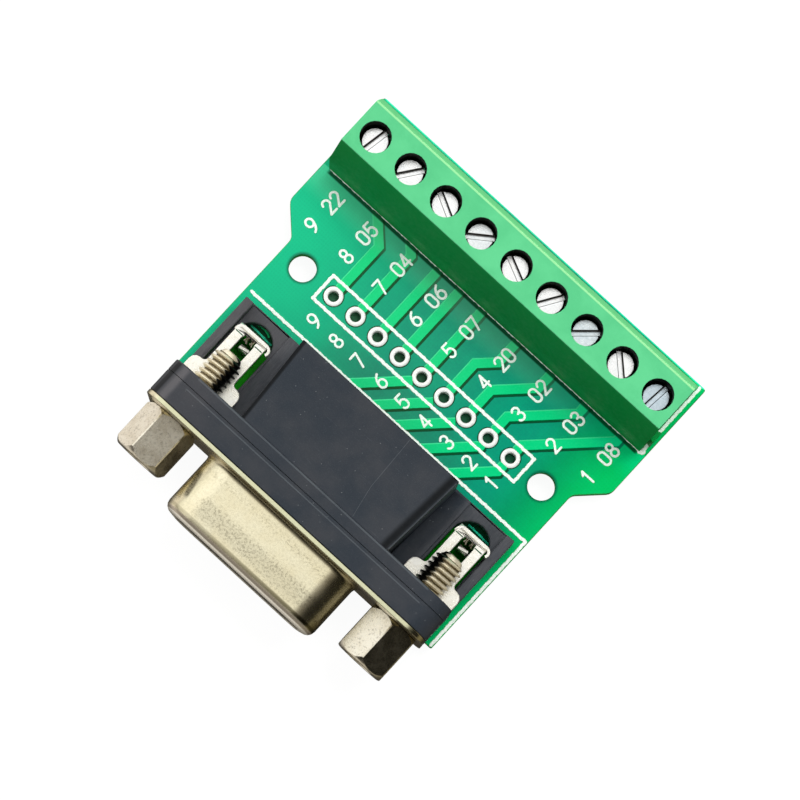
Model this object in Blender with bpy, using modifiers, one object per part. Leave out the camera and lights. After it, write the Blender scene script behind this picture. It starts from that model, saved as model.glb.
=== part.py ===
"""Nine-way D-sub socket to screw-terminal adapter.

A small circuit board carries a right-angle nine-way D-sub socket on its front
edge, an empty row of nine header holes in the middle and a nine-way rising
clamp terminal block along its back edge.

Board frame (millimetres, used by every dimension below): origin at the middle
header hole on the board's top face, +X to the right, +Y from the socket to the
terminal block, +Z up. The parent empty carries this frame into the world so
that the object stands on its pin tails with the middle of its footprint at the
world origin.
"""

import math

import bmesh
import bpy
from mathutils import Matrix, Vector

MM = 0.001

# ---------------------------------------------------------------- whole object
POLES = 9
FRONT_Y = -23.1  # front rim of the D-sub shell
TAIL_Z = -3.1  # lowest point of the pin tails

# ----------------------------------------------------------------------- board
BOARD_T = 1.6
BOARD_HALF_NARROW = 16.1  # half width beside the socket
BOARD_HALF_WIDE = 18.48  # half width beside the terminal block
BOARD_FRONT_Y = -16.39
BOARD_BACK_Y = 15.46
BOARD_STEP_Y = 1.2  # the 45 degree flare starts here
BOARD_CORNER_R = 1.0
MOUNT_HOLE_X = 13.71
MOUNT_HOLE_R = 1.2
HEADER_PITCH = 2.54
HEADER_HOLE_R = 0.5
CONTACT_HOLE_R = 0.55
PIN_HOLE_R = 0.75
LOCK_HOLE_R = 1.3
LOCK_Y = -7.99  # centre of the board-lock holes

# ---------------------------------------------------------------- D-sub socket
AXIS_Z = 6.3  # height of the socket's middle over the board
FLANGE_HALF = 15.4
FLANGE_H = 12.5
FLANGE_R = 2.0
FLANGE_FRONT_Y = -17.2
SHELL_T = 0.4
TUBE_W = 16.35
TUBE_H = 7.9
TUBE_R = 2.6
TUBE_SLOPE = math.radians(10.0)
TUBE_FILLET = 0.6
FRONT_PLATE_Y = (-16.77, -14.62)
REAR_PLATE_Y = (-14.58, -13.49)
PLUG_FRONT_Y = -22.7
CONTACT_PITCH = 2.77
ROW_GAP = 2.84
BARREL_R = 0.78
TAIL_R = 0.32
TAIL_Y_UPPER = -6.43
TAIL_Y_LOWER = -9.27
HOOD_TOP_Z = 12.3
HOOD_BACK_Y = -5.35
HOOD_HALF_FRONT = 8.1
HOOD_HALF_BACK = 8.7
WING_OUT_X = 15.25
WING_BACK_Y = -5.15
WING_Z = 2.0
DECK_Z = 2.6
RIM_Z = 4.05
RIM_IN_X = 14.4

# ------------------------------------------------- jackscrews and board locks
JACK_X = 12.495
HEX_AF = 4.6
HEX_FRONT_Y = -21.7
THREAD_R = 1.42
THREAD_TIP_Y = -10.0
TAP_R = 1.15
LOCK_T = 0.5  # sheet thickness
LOCK_PLATE_Z = 4.5  # mid-plane of the flat part
LOCK_EAR_HALF = 2.75
LOCK_ARM_HALF = 1.55
LOCK_SLOT_HALF = 0.67
LOCK_TINE_HALF = 0.525

# -------------------------------------------------------------- terminal block
TERM_PITCH = 3.96
BLOCK_HALF = 17.82
BLOCK_TOP_Z = 10.76
SCREW_Y = 11.22
BORE_R = 1.35
POCKET_HALF = 1.6
POCKET_Z = (0.8, 6.9)
POCKET_FRONT_Y = 8.7
HEAD_R = 1.235
HEAD_TOP_Z = BLOCK_TOP_Z - 2.5
HEAD_H = 1.3
SHANK_R = 1.0
SLOT_W = 0.5
SLOT_DEPTH = 0.55
CAGE_HALF = 1.45
CAGE_DEPTH = 2.75
CAGE_WINDOW_HALF = 1.05
CAGE_Z = (0.95, 5.05)
CAGE_WINDOW_Z = (1.35, 4.45)
CLAMP_TRAVEL = 1.8
BAR_Z = (3.5, 4.3)
BAR_Y = (8.9, 12.7)
LEG_Y = (8.95, 9.6)

# slot angle of each terminal screw, pole 1 to pole 9, from +X towards +Y
SLOT_ANGLES = (84.5, -43.0, 42.5, 58.0, -24.5, 36.5, -27.0, 54.0, 80.0)

OBJECT_NAME = "dsub_terminal_adapter"


# ------------------------------------------------------------------- utilities
def clear_scene():
    for obj in list(bpy.data.objects):
        bpy.data.objects.remove(obj, do_unlink=True)


def collection(name):
    made = bpy.data.collections.new(name)
    bpy.context.scene.collection.children.link(made)
    return made


def material(name, colour, roughness, metallic=0.0):
    made = bpy.data.materials.new(name)
    made.use_nodes = True
    shader = made.node_tree.nodes["Principled BSDF"]
    shader.inputs["Base Color"].default_value = (*colour, 1.0)
    shader.inputs["Roughness"].default_value = roughness
    shader.inputs["Metallic"].default_value = metallic
    made.diffuse_color = (*colour, 1.0)
    return made


def tidy(mesh):
    """Welds the loose caps of a converted outline and turns its faces out."""
    work = bmesh.new()
    work.from_mesh(mesh)
    bmesh.ops.remove_doubles(work, verts=work.verts, dist=1e-6)
    bmesh.ops.recalc_face_normals(work, faces=work.faces)
    work.to_mesh(mesh)
    work.free()
    return mesh


def add(name, mesh, finish, place, smooth=False):
    """A finished piece, in board-frame millimetres, under the parent empty."""
    mesh.name = name
    mesh.materials.clear()
    mesh.materials.append(finish)
    if smooth:
        mesh.shade_smooth()
        mesh.set_sharp_from_angle(angle=math.radians(35.0))
    obj = bpy.data.objects.new(name, mesh)
    place.objects.link(obj)
    return obj


def cutter(name, mesh):
    obj = bpy.data.objects.new(name, mesh)
    CUTTERS.objects.link(obj)
    obj.hide_render = True
    obj.display_type = "WIRE"
    obj.parent = ROOT
    return obj


def boolean(obj, operation, other):
    step = obj.modifiers.new(operation.lower() + "_" + other.name, "BOOLEAN")
    step.operation = operation
    step.solver = "EXACT"
    step.object = other


# Axes of an outline's own x, y and extrusion: seen from above, from the front
# and from the right-hand end.
FROM_ABOVE = Matrix(((1, 0, 0), (0, 1, 0), (0, 0, 1))).to_4x4()
FROM_FRONT = Matrix(((1, 0, 0), (0, 0, -1), (0, 1, 0))).to_4x4()
FROM_END = Matrix(((0, 0, 1), (1, 0, 0), (0, 1, 0))).to_4x4()


def slab(loops, low, high, axes=FROM_ABOVE):
    """A flat outline, with any holes in it, between two levels along the third axis."""
    curve = bpy.data.curves.new("outline", "CURVE")
    curve.dimensions = "2D"
    curve.fill_mode = "BOTH"
    curve.extrude = abs(high - low) / 2 * MM
    for loop in loops:
        spline = curve.splines.new("POLY")
        spline.points.add(len(loop) - 1)
        for point, (x, y) in zip(spline.points, loop):
            point.co = (x * MM, y * MM, 0.0, 1.0)
        spline.use_cyclic_u = True
    holder = bpy.data.objects.new("outline", curve)
    bpy.context.scene.collection.objects.link(holder)
    graph = bpy.context.evaluated_depsgraph_get()
    mesh = bpy.data.meshes.new_from_object(holder.evaluated_get(graph))
    bpy.data.objects.remove(holder, do_unlink=True)
    middle = (low + high) / 2
    if axes is FROM_FRONT:
        middle = -middle
    mesh.transform(axes @ Matrix.Translation((0, 0, middle * MM)))
    return tidy(mesh)


def box(low, high):
    """An upright box between two corners."""
    work = bmesh.new()
    size = [(b - a) * MM for a, b in zip(low, high)]
    centre = [(a + b) / 2 * MM for a, b in zip(low, high)]
    bmesh.ops.create_cube(
        work, size=1.0, matrix=Matrix.Translation(centre) @ Matrix.Diagonal((*size, 1))
    )
    mesh = bpy.data.meshes.new("box")
    work.to_mesh(mesh)
    work.free()
    return mesh


def turned(profile, sides, axes=FROM_ABOVE, at=(0, 0, 0)):
    """A turned solid: (radius, height) points from its low end to its high end."""
    work = bmesh.new()
    points = [(0.0, profile[0][1])] * (profile[0][0] > 0) + list(profile)
    points += [(0.0, profile[-1][1])] * (profile[-1][0] > 0)
    verts = [work.verts.new((r * MM, 0, h * MM)) for r, h in points]
    edges = [work.edges.new(pair) for pair in zip(verts, verts[1:])]
    bmesh.ops.spin(
        work,
        geom=verts + edges,
        cent=(0, 0, 0),
        axis=(0, 0, 1),
        angle=2 * math.pi,
        steps=sides,
        use_merge=True,
    )
    mesh = bpy.data.meshes.new("turned")
    work.to_mesh(mesh)
    work.free()
    mesh.transform(Matrix.Translation([value * MM for value in at]) @ axes)
    return tidy(mesh)


def merged(meshes):
    """Several separate shapes in one mesh, for cutting them in one step."""
    work = bmesh.new()
    for mesh in meshes:
        work.from_mesh(mesh)
    mesh = bpy.data.meshes.new("merged")
    work.to_mesh(mesh)
    work.free()
    return mesh


def circle(x, y, r, sides, turn=0.0):
    return [
        (
            x + r * math.cos(turn + 2 * math.pi * k / sides),
            y + r * math.sin(turn + 2 * math.pi * k / sides),
        )
        for k in range(sides)
    ]


def arc(x, y, r, start, end, steps):
    return [
        (
            x + r * math.cos(math.radians(start + (end - start) * k / steps)),
            y + r * math.sin(math.radians(start + (end - start) * k / steps)),
        )
        for k in range(steps + 1)
    ]


def rounded_rect(x0, y0, x1, y1, radii, steps=4):
    """Corner radii run bottom-left, bottom-right, top-right, top-left."""
    corners = ((x0, y0, 180), (x1, y0, 270), (x1, y1, 0), (x0, y1, 90))
    inward = ((1, 1), (-1, 1), (-1, -1), (1, -1))
    points = []
    for (x, y, start), (sx, sy), r in zip(corners, inward, radii):
        if r:
            points += arc(x + sx * r, y + sy * r, r, start, start + 90, steps)
        else:
            points.append((x, y))
    return points


def rounded_polygon(corners, steps=3):
    """Corners as (x, y, radius), counter-clockwise; each radius is tangent to both sides."""
    points = []
    count = len(corners)
    for k, (x, y, r) in enumerate(corners):
        here = Vector((x, y))
        before = (Vector(corners[k - 1][:2]) - here).normalized()
        after = (Vector(corners[(k + 1) % count][:2]) - here).normalized()
        if not r:
            points.append((x, y))
            continue
        half = before.angle(after) / 2
        reach = r / math.tan(half)
        start, end = here + before * reach, here + after * reach
        centre = here + (before + after).normalized() * (r / math.sin(half))
        a, b = start - centre, end - centre
        turn = a.angle_signed(b)
        for j in range(steps + 1):
            angle = -turn * j / steps
            c, s = math.cos(angle), math.sin(angle)
            points.append((centre.x + a.x * c - a.y * s, centre.y + a.x * s + a.y * c))
    return points


def d_outline(grow=0.0):
    """The D section about (0, AXIS_Z), wide side up, grown outwards by a distance."""
    r = TUBE_R + grow
    top_x = TUBE_W / 2 - TUBE_R
    top_z = AXIS_Z + TUBE_H / 2 - TUBE_R
    low_z = AXIS_Z - TUBE_H / 2 + TUBE_R
    low_x = top_x - (top_z - low_z) * math.tan(TUBE_SLOPE)
    return (
        arc(top_x, top_z, r, -10, 90, 6)
        + arc(-top_x, top_z, r, 90, 190, 6)
        + arc(-low_x, low_z, r, 190, 270, 5)
        + arc(low_x, low_z, r, 270, 350, 5)
    )


def d_loft(rings):
    """A solid through D sections given as (Y, growth), front to back."""
    work = bmesh.new()
    loops = []
    for y, grow in rings:
        loops.append(
            [work.verts.new((x * MM, y * MM, z * MM)) for x, z in d_outline(grow)]
        )
    count = len(loops[0])
    work.faces.new(loops[0])
    work.faces.new(loops[-1])
    for first, second in zip(loops, loops[1:]):
        for k in range(count):
            j = (k + 1) % count
            work.faces.new((first[k], first[j], second[j], second[k]))
    mesh = bpy.data.meshes.new("d_loft")
    work.to_mesh(mesh)
    work.free()
    return tidy(mesh)


# ------------------------------------------------------------------ start here
clear_scene()
PARTS = collection(OBJECT_NAME)
CUTTERS = collection(OBJECT_NAME + "_cutters")
ROOT = bpy.data.objects.new("board_frame", None)
PARTS.objects.link(ROOT)
ROOT.location = (0.0, -(FRONT_Y + BOARD_BACK_Y) / 2 * MM, -TAIL_Z * MM)

MASK_GREEN = material("solder_mask_green", (0.012, 0.33, 0.17), 0.35)
HOUSING_GREEN = material("housing_green", (0.06, 0.47, 0.19), 0.45)
BLACK_PLASTIC = material("black_plastic", (0.045, 0.05, 0.055), 0.5)
NICKEL_SHEET = material("nickel_sheet", (0.74, 0.69, 0.56), 0.32, 1.0)
BRIGHT_TIN = material("bright_tin", (0.82, 0.8, 0.76), 0.28, 1.0)
ZINC_SCREW = material("zinc_screw", (0.78, 0.79, 0.8), 0.3, 1.0)
GOLD_CONTACT = material("gold_contact", (0.83, 0.62, 0.25), 0.3, 1.0)


def pole_x(number):
    return (5 - number) * TERM_PITCH


def contact_place(number):
    """X, height over the board and tail Y of one contact: 1 to 5 above, 6 to 9 below."""
    if number <= 5:
        return (3 - number) * CONTACT_PITCH, AXIS_Z + ROW_GAP / 2, TAIL_Y_UPPER
    return (7.5 - number) * CONTACT_PITCH, AXIS_Z - ROW_GAP / 2, TAIL_Y_LOWER


SIDES = (("left", -1), ("right", 1))


# ----------------------------------------------------------------------- board
def make_board():
    half, wide = BOARD_HALF_NARROW, BOARD_HALF_WIDE
    flare_y = BOARD_STEP_Y + (wide - half)
    edge = rounded_polygon(
        [
            (-half, BOARD_FRONT_Y, 0.15),
            (half, BOARD_FRONT_Y, 0.15),
            (half, BOARD_STEP_Y, 0.8),
            (wide, flare_y, BOARD_CORNER_R),
            (wide, BOARD_BACK_Y, 0.15),
            (-wide, BOARD_BACK_Y, 0.15),
            (-wide, flare_y, BOARD_CORNER_R),
            (-half, BOARD_STEP_Y, 0.8),
        ]
    )
    holes = []
    for _, side in SIDES:
        holes.append(circle(side * MOUNT_HOLE_X, 0, MOUNT_HOLE_R, 32))
        holes.append(circle(side * JACK_X, LOCK_Y, LOCK_HOLE_R, 20))
    for number in range(1, POLES + 1):
        holes.append(circle((5 - number) * HEADER_PITCH, 0, HEADER_HOLE_R, 20))
        x, _, y = contact_place(number)
        holes.append(circle(x, y, CONTACT_HOLE_R, 12))
        holes.append(circle(pole_x(number), sum(LEG_Y) / 2, PIN_HOLE_R, 12))
    add(
        "circuit_board",
        slab([edge] + holes, -BOARD_T, 0.0),
        MASK_GREEN,
        PARTS,
    ).parent = ROOT


# ---------------------------------------------------------------- D-sub socket
def flange_outline():
    return rounded_rect(
        -FLANGE_HALF, 0.03, FLANGE_HALF, FLANGE_H, [FLANGE_R] * 4, steps=5
    )


def make_shell():
    back = FLANGE_FRONT_Y + SHELL_T
    holes = [circle(side * JACK_X, AXIS_Z, 1.6, 20) for _, side in SIDES]
    plate = slab([flange_outline()] + holes, FLANGE_FRONT_Y, back, FROM_FRONT)
    shell = add("dsub_shell", plate, NICKEL_SHEET, PARTS, smooth=True)
    shell.parent = ROOT
    f = TUBE_FILLET
    root = [
        (FLANGE_FRONT_Y - f + f * math.sin(math.radians(a)), f * (1 - math.cos(math.radians(a))))
        for a in (0, 30, 60, 85)
    ]
    rim = [
        (FRONT_Y, -0.78),
        (FRONT_Y + 0.05, -0.52),
        (FRONT_Y + 0.2, -0.27),
        (FRONT_Y + 0.45, -0.08),
        (FRONT_Y + 0.8, 0.0),
    ]
    tube = d_loft(rim + root + [(back - 0.1, root[-1][1])])
    boolean(shell, "UNION", cutter("shell_tube", tube))
    t = -SHELL_T
    inside = d_loft(
        [
            (FRONT_Y - 0.3, -1.02),
            (FRONT_Y + 0.1, -0.97),
            (FRONT_Y + 0.4, -0.56),
            (FRONT_Y + 0.58, t),
            (FLANGE_FRONT_Y - 0.3, t),
            (FLANGE_FRONT_Y + 0.1, t + 0.12),
            (back + 0.3, t + 0.45),
        ]
    )
    boolean(shell, "DIFFERENCE", cutter("shell_inside", inside))


def make_front_insulator():
    holes = [circle(side * JACK_X, AXIS_Z, 1.6, 20) for _, side in SIDES]
    plate = slab([flange_outline()] + holes, *FRONT_PLATE_Y, FROM_FRONT)
    body = add("front_insulator", plate, BLACK_PLASTIC, PARTS)
    body.parent = ROOT
    grow = -SHELL_T - 0.06
    plug = d_loft(
        [
            (PLUG_FRONT_Y, grow - 0.2),
            (PLUG_FRONT_Y + 0.2, grow),
            (FRONT_PLATE_Y[0] + 0.4, grow),
        ]
    )
    boolean(body, "UNION", cutter("insulator_plug", plug))
    cuts = []
    for number in range(1, POLES + 1):
        x, z, _ = contact_place(number)
        front, back = -PLUG_FRONT_Y, -FRONT_PLATE_Y[1]
        profile = [
            (BARREL_R + 0.1, back - 0.3),
            (BARREL_R + 0.1, front - 0.75),
            (0.62, front - 0.75),
            (0.62, front - 0.4),
            (1.04, front + 0.02),
            (1.04, front + 0.3),
        ]
        cuts.append(turned(profile, 12, FROM_FRONT, (x, 0, z)))
    boolean(body, "DIFFERENCE", cutter("contact_bores", merged(cuts)))


def make_rear_insulator():
    y0, y1 = REAR_PLATE_Y
    body = add(
        "rear_insulator",
        slab([flange_outline()], y0, y1, FROM_FRONT),
        BLACK_PLASTIC,
        PARTS,
    )
    body.parent = ROOT
    # hood over the contact tails: a little wider at its back
    front, back = y1 - 0.3, HOOD_BACK_Y
    hood = slab(
        [
            [
                (-HOOD_HALF_FRONT, front),
                (HOOD_HALF_FRONT, front),
                (HOOD_HALF_BACK, back),
                (-HOOD_HALF_BACK, back),
            ]
        ],
        0.1,
        HOOD_TOP_Z,
    )
    boolean(body, "UNION", cutter("hood", hood))
    for name, side in SIDES:
        outer = rounded_rect(
            8.2, y1 - 0.25, WING_OUT_X, WING_BACK_Y, (0, 0, 0.25, 0), steps=2
        )
        slot = [(14.2, y1 - 0.1)] + arc(12.4, -7.8, 1.8, 0, 180, 10) + [(10.6, y1 - 0.1)]
        loops = [[(side * x, y) for x, y in loop] for loop in (outer, slot)]
        boolean(body, "UNION", cutter("wing_" + name, slab(loops, 0.1, WING_Z)))
        low, high = sorted((side * RIM_IN_X, side * (WING_OUT_X - 0.01)))
        rim = box((low, y1 - 0.2, 0.12), (high, WING_BACK_Y - 0.12, RIM_Z))
        boolean(body, "UNION", cutter("rim_" + name, rim))
        low, high = sorted((side * 8.25, side * 10.35))
        deck = box((low, y1 - 0.22, 0.14), (high, WING_BACK_Y - 0.06, DECK_Z))
        boolean(body, "UNION", cutter("deck_" + name, deck))
        window = box(
            (side * JACK_X - 2.95, y0 - 0.3, 4.08), (side * JACK_X + 2.95, y1 + 0.1, 9.3)
        )
        boolean(body, "DIFFERENCE", cutter("window_" + name, window))
    inside = box((-7.2, y1 + 0.2, -0.3), (7.2, HOOD_BACK_Y - 0.55, HOOD_TOP_Z - 0.9))
    boolean(body, "DIFFERENCE", cutter("hood_inside", inside))
    cuts = []
    for number in range(1, POLES + 1):
        x, z, _ = contact_place(number)
        cuts.append(
            turned([(0.5, -y1 - 0.4), (0.5, -y0 + 0.3)], 8, FROM_FRONT, (x, 0, z))
        )
    boolean(body, "DIFFERENCE", cutter("tail_holes", merged(cuts)))


def make_contacts():
    """Socket contact: a slotted barrel, drawn down to a round tail that turns to the board."""
    for number in range(1, POLES + 1):
        x, z, tail_y = contact_place(number)
        bend = 0.9
        barrel = -21.85
        route = [
            (barrel, z, BARREL_R),
            (-15.4, z, BARREL_R),
            (-15.15, z, TAIL_R),
            (tail_y - bend, z, TAIL_R),
        ]
        for angle in (30, 60):
            a = math.radians(angle)
            route.append(
                (
                    tail_y - bend + bend * math.sin(a),
                    z - bend + bend * math.cos(a),
                    TAIL_R,
                )
            )
        route += [
            (tail_y, z - bend, TAIL_R),
            (tail_y, TAIL_Z + 0.3, TAIL_R),
            (tail_y, TAIL_Z, TAIL_R * 0.6),
        ]
        curve = bpy.data.curves.new("contact_route", "CURVE")
        curve.dimensions = "3D"
        curve.bevel_depth = MM
        curve.bevel_resolution = 2
        curve.use_fill_caps = True
        spline = curve.splines.new("POLY")
        spline.points.add(len(route) - 1)
        for point, (y, height, radius) in zip(spline.points, route):
            point.co = (0.0, y * MM, height * MM, 1.0)
            point.radius = radius
        holder = bpy.data.objects.new("contact_route", curve)
        bpy.context.scene.collection.objects.link(holder)
        graph = bpy.context.evaluated_depsgraph_get()
        mesh = bpy.data.meshes.new_from_object(holder.evaluated_get(graph))
        bpy.data.objects.remove(holder, do_unlink=True)
        contact = add(
            "socket_contact_%d" % number, tidy(mesh), GOLD_CONTACT, PARTS, smooth=True
        )
        contact.location = (x * MM, 0, 0)
        contact.parent = ROOT
        bore = turned(
            [(0.5, -barrel - 5.0), (0.5, -barrel + 0.3)], 10, FROM_FRONT, (x, 0, z)
        )
        boolean(contact, "DIFFERENCE", cutter("contact_bore_%d" % number, bore))


# ------------------------------------------------- jackscrews and board locks
def make_jackscrews():
    # The left hex sits turned on its shank; the right one has a corner on top.
    for (name, side), corner in zip(SIDES, (50.0, 90.0)):
        x = side * JACK_X
        corners = circle(x, AXIS_Z, HEX_AF / math.sqrt(3), 6, math.radians(corner))
        hexagon = slab([corners], HEX_FRONT_Y, FLANGE_FRONT_Y - 0.04, FROM_FRONT)
        screw = add("jackscrew_" + name, hexagon, BRIGHT_TIN, PARTS, smooth=True)
        screw.parent = ROOT
        front = -HEX_FRONT_Y
        limit = turned(
            [
                (2.25, -FLANGE_FRONT_Y - 0.1),
                (2.25, -FLANGE_FRONT_Y + 0.2),
                (2.7, -FLANGE_FRONT_Y + 0.65),
                (2.7, front - 0.6),
                (2.5, front - 0.28),
                (2.2, front - 0.08),
                (1.95, front),
                (1.95, front + 0.2),
            ],
            24,
            FROM_FRONT,
            (x, 0, AXIS_Z),
        )
        boolean(screw, "INTERSECT", cutter("hex_limit_" + name, limit))
        shank = turned(
            [
                (0.55, -THREAD_TIP_Y),
                (1.0, -THREAD_TIP_Y + 0.12),
                (THREAD_R, -THREAD_TIP_Y + 0.55),
                (THREAD_R, -FLANGE_FRONT_Y + 1.0),
            ],
            24,
            FROM_FRONT,
            (x, 0, AXIS_Z),
        )
        boolean(screw, "UNION", cutter("shank_" + name, shank))
        tap = turned(
            [
                (0.4, front - 4.6),
                (TAP_R, front - 4.0),
                (TAP_R, front - 0.3),
                (1.5, front + 0.05),
                (1.5, front + 0.3),
            ],
            20,
            FROM_FRONT,
            (x, 0, AXIS_Z),
        )
        boolean(screw, "DIFFERENCE", cutter("tap_" + name, tap))


def lock_path():
    """Runs of the folded board lock, as its mid-surface in (Y, Z): straight or bent."""
    z = LOCK_PLATE_Z
    back = -7.38  # rear leg
    front = -8.6  # sprung tine
    r1, r2, r3 = 0.45, 0.55, (back - front) / 2
    plate = -14.0
    low = -2.15
    return [
        ("line", (plate, 9.0), (plate, z + r1)),
        ("bend", (plate + r1, z + r1), r1, 180, 270),
        ("line", (plate + r1, z), (back - r2, z)),
        ("bend", (back - r2, z - r2), r2, 90, 0),
        ("line", (back, z - r2), (back, low)),
        ("bend", (back - r3, low), r3, 0, -180),
        ("line", (front, low), (front, 2.0)),
    ]


def run_length(run):
    if run[0] == "line":
        return math.dist(run[1], run[2])
    return abs(math.radians(run[4] - run[3])) * run[2]


def fold(u):
    """The point of the folded path at distance u along it."""
    for run in lock_path():
        length = run_length(run)
        if u <= length + 1e-9 or run is lock_path()[-1]:
            t = min(u / length, 1.0)
            if run[0] == "line":
                (a, b), (c, d) = run[1], run[2]
                return a + (c - a) * t, b + (d - b) * t
            angle = math.radians(run[3] + (run[4] - run[3]) * t)
            (a, b), r = run[1], run[2]
            return a + r * math.cos(angle), b + r * math.sin(angle)
        u -= length
    (a, b) = lock_path()[-1][2]
    return a, b


def make_board_locks():
    lengths = [run_length(run) for run in lock_path()]
    starts = [sum(lengths[:k]) for k in range(len(lengths) + 1)]
    total = starts[-1]
    flat = starts[2]  # the flat part starts here, at Y = -13.55
    ear_end = flat + (-11.7 + 13.55)
    shoulder = starts[4] + 2.3
    right = [
        (LOCK_EAR_HALF, 0.0, 0.8),
        (LOCK_EAR_HALF, ear_end, 0.7),
        (LOCK_ARM_HALF, ear_end, 0.35),
        (LOCK_ARM_HALF, shoulder, 0.4),
        (LOCK_TINE_HALF, shoulder + 0.5, 0.3),
        (LOCK_TINE_HALF, total, 0.15),
    ]
    left = [(-x, u, r) for x, u, r in reversed(right)]
    blank = rounded_polygon(right + left, steps=3)
    slot_start, slot_end = flat + (-11.3 + 13.55), flat + (-7.98 + 13.55)
    s = LOCK_SLOT_HALF
    slot = rounded_rect(-s, slot_start, s, slot_end, [0.2] * 4, steps=2)
    hole = circle(0, 9.0 - AXIS_Z, THREAD_R + 0.05, 24)
    # bend lines
    cuts = []
    for k, run in enumerate(lock_path()):
        if run[0] == "bend":
            parts = 6 if k == 5 else 4
            cuts += [starts[k] + lengths[k] * j / parts for j in range(parts + 1)]
    for name, side in SIDES:
        mesh = slab([blank, slot, hole], -0.001, 0.001)
        work = bmesh.new()
        work.from_mesh(mesh)
        # keep one skin of the flat blank
        skin = [
            face
            for face in work.faces
            if abs(face.normal.z) < 0.5 or face.calc_center_median().z < 0
        ]
        bmesh.ops.delete(work, geom=skin, context="FACES")
        for u in cuts:
            bmesh.ops.bisect_plane(
                work,
                geom=work.verts[:] + work.edges[:] + work.faces[:],
                plane_co=(0, u * MM, 0),
                plane_no=(0, 1, 0),
            )
        for vert in work.verts:
            y, z = fold(vert.co.y / MM)
            vert.co = (vert.co.x + side * JACK_X * MM, y * MM, z * MM)
        work.normal_update()
        work.to_mesh(mesh)
        work.free()
        lock = add("boardlock_bracket_" + name, mesh, BRIGHT_TIN, PARTS)
        lock.parent = ROOT
        sheet = lock.modifiers.new("sheet", "SOLIDIFY")
        sheet.thickness = LOCK_T * MM
        sheet.offset = 0.0
        sheet.use_even_offset = True


# -------------------------------------------------------------- terminal block
def make_terminal_housing():
    top = BLOCK_TOP_Z
    section = [
        (8.1, 0.03),
        (15.2, 0.03),
        (15.2, 1.7),
        (14.45, 1.7),
        (14.45, 8.3),
        (13.62, top),
        (9.18, top),
        (7.75, 6.8),
        (7.75, 0.5),
        (8.1, 0.5),
    ]
    housing = add(
        "terminal_housing",
        slab([section], -BLOCK_HALF, BLOCK_HALF, FROM_END),
        HOUSING_GREEN,
        PARTS,
    )
    housing.parent = ROOT
    # dovetail rib on the right end and its groove on the left, for joining blocks
    rib = [(-0.1, 8.75), (0.38, 8.6), (0.38, 9.75), (-0.1, 9.6)]
    grow = 0.08
    groove = [(-0.2, 8.75 - grow), (0.42, 8.6 - grow), (0.42, 9.75 + grow), (-0.2, 9.6 + grow)]
    boolean(
        housing,
        "UNION",
        cutter(
            "end_rib", slab([[(BLOCK_HALF + x, y) for x, y in rib]], 0.3, 4.8)
        ),
    )
    boolean(
        housing,
        "DIFFERENCE",
        cutter(
            "end_groove",
            slab([[(-BLOCK_HALF + x, y) for x, y in groove]], -0.5, 5.0),
        ),
    )
    pockets, bores, slots = [], [], []
    for number in range(1, POLES + 1):
        x = pole_x(number)
        pockets.append(
            box(
                (x - POCKET_HALF, POCKET_FRONT_Y, POCKET_Z[0]),
                (x + POCKET_HALF, 15.6, POCKET_Z[1]),
            )
        )
        bores.append(
            turned(
                [(BORE_R, POCKET_Z[1] - 0.3), (BORE_R, top + 0.3)],
                24,
                FROM_ABOVE,
                (x, SCREW_Y, 0),
            )
        )
        slots.append(box((x - 0.6, POCKET_FRONT_Y + 0.1, -0.3), (x + 0.6, 15.6, 1.0)))
    boolean(housing, "DIFFERENCE", cutter("clamp_pockets", merged(pockets)))
    boolean(housing, "DIFFERENCE", cutter("screw_bores", merged(bores)))
    boolean(housing, "DIFFERENCE", cutter("leg_slots", merged(slots)))


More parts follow.
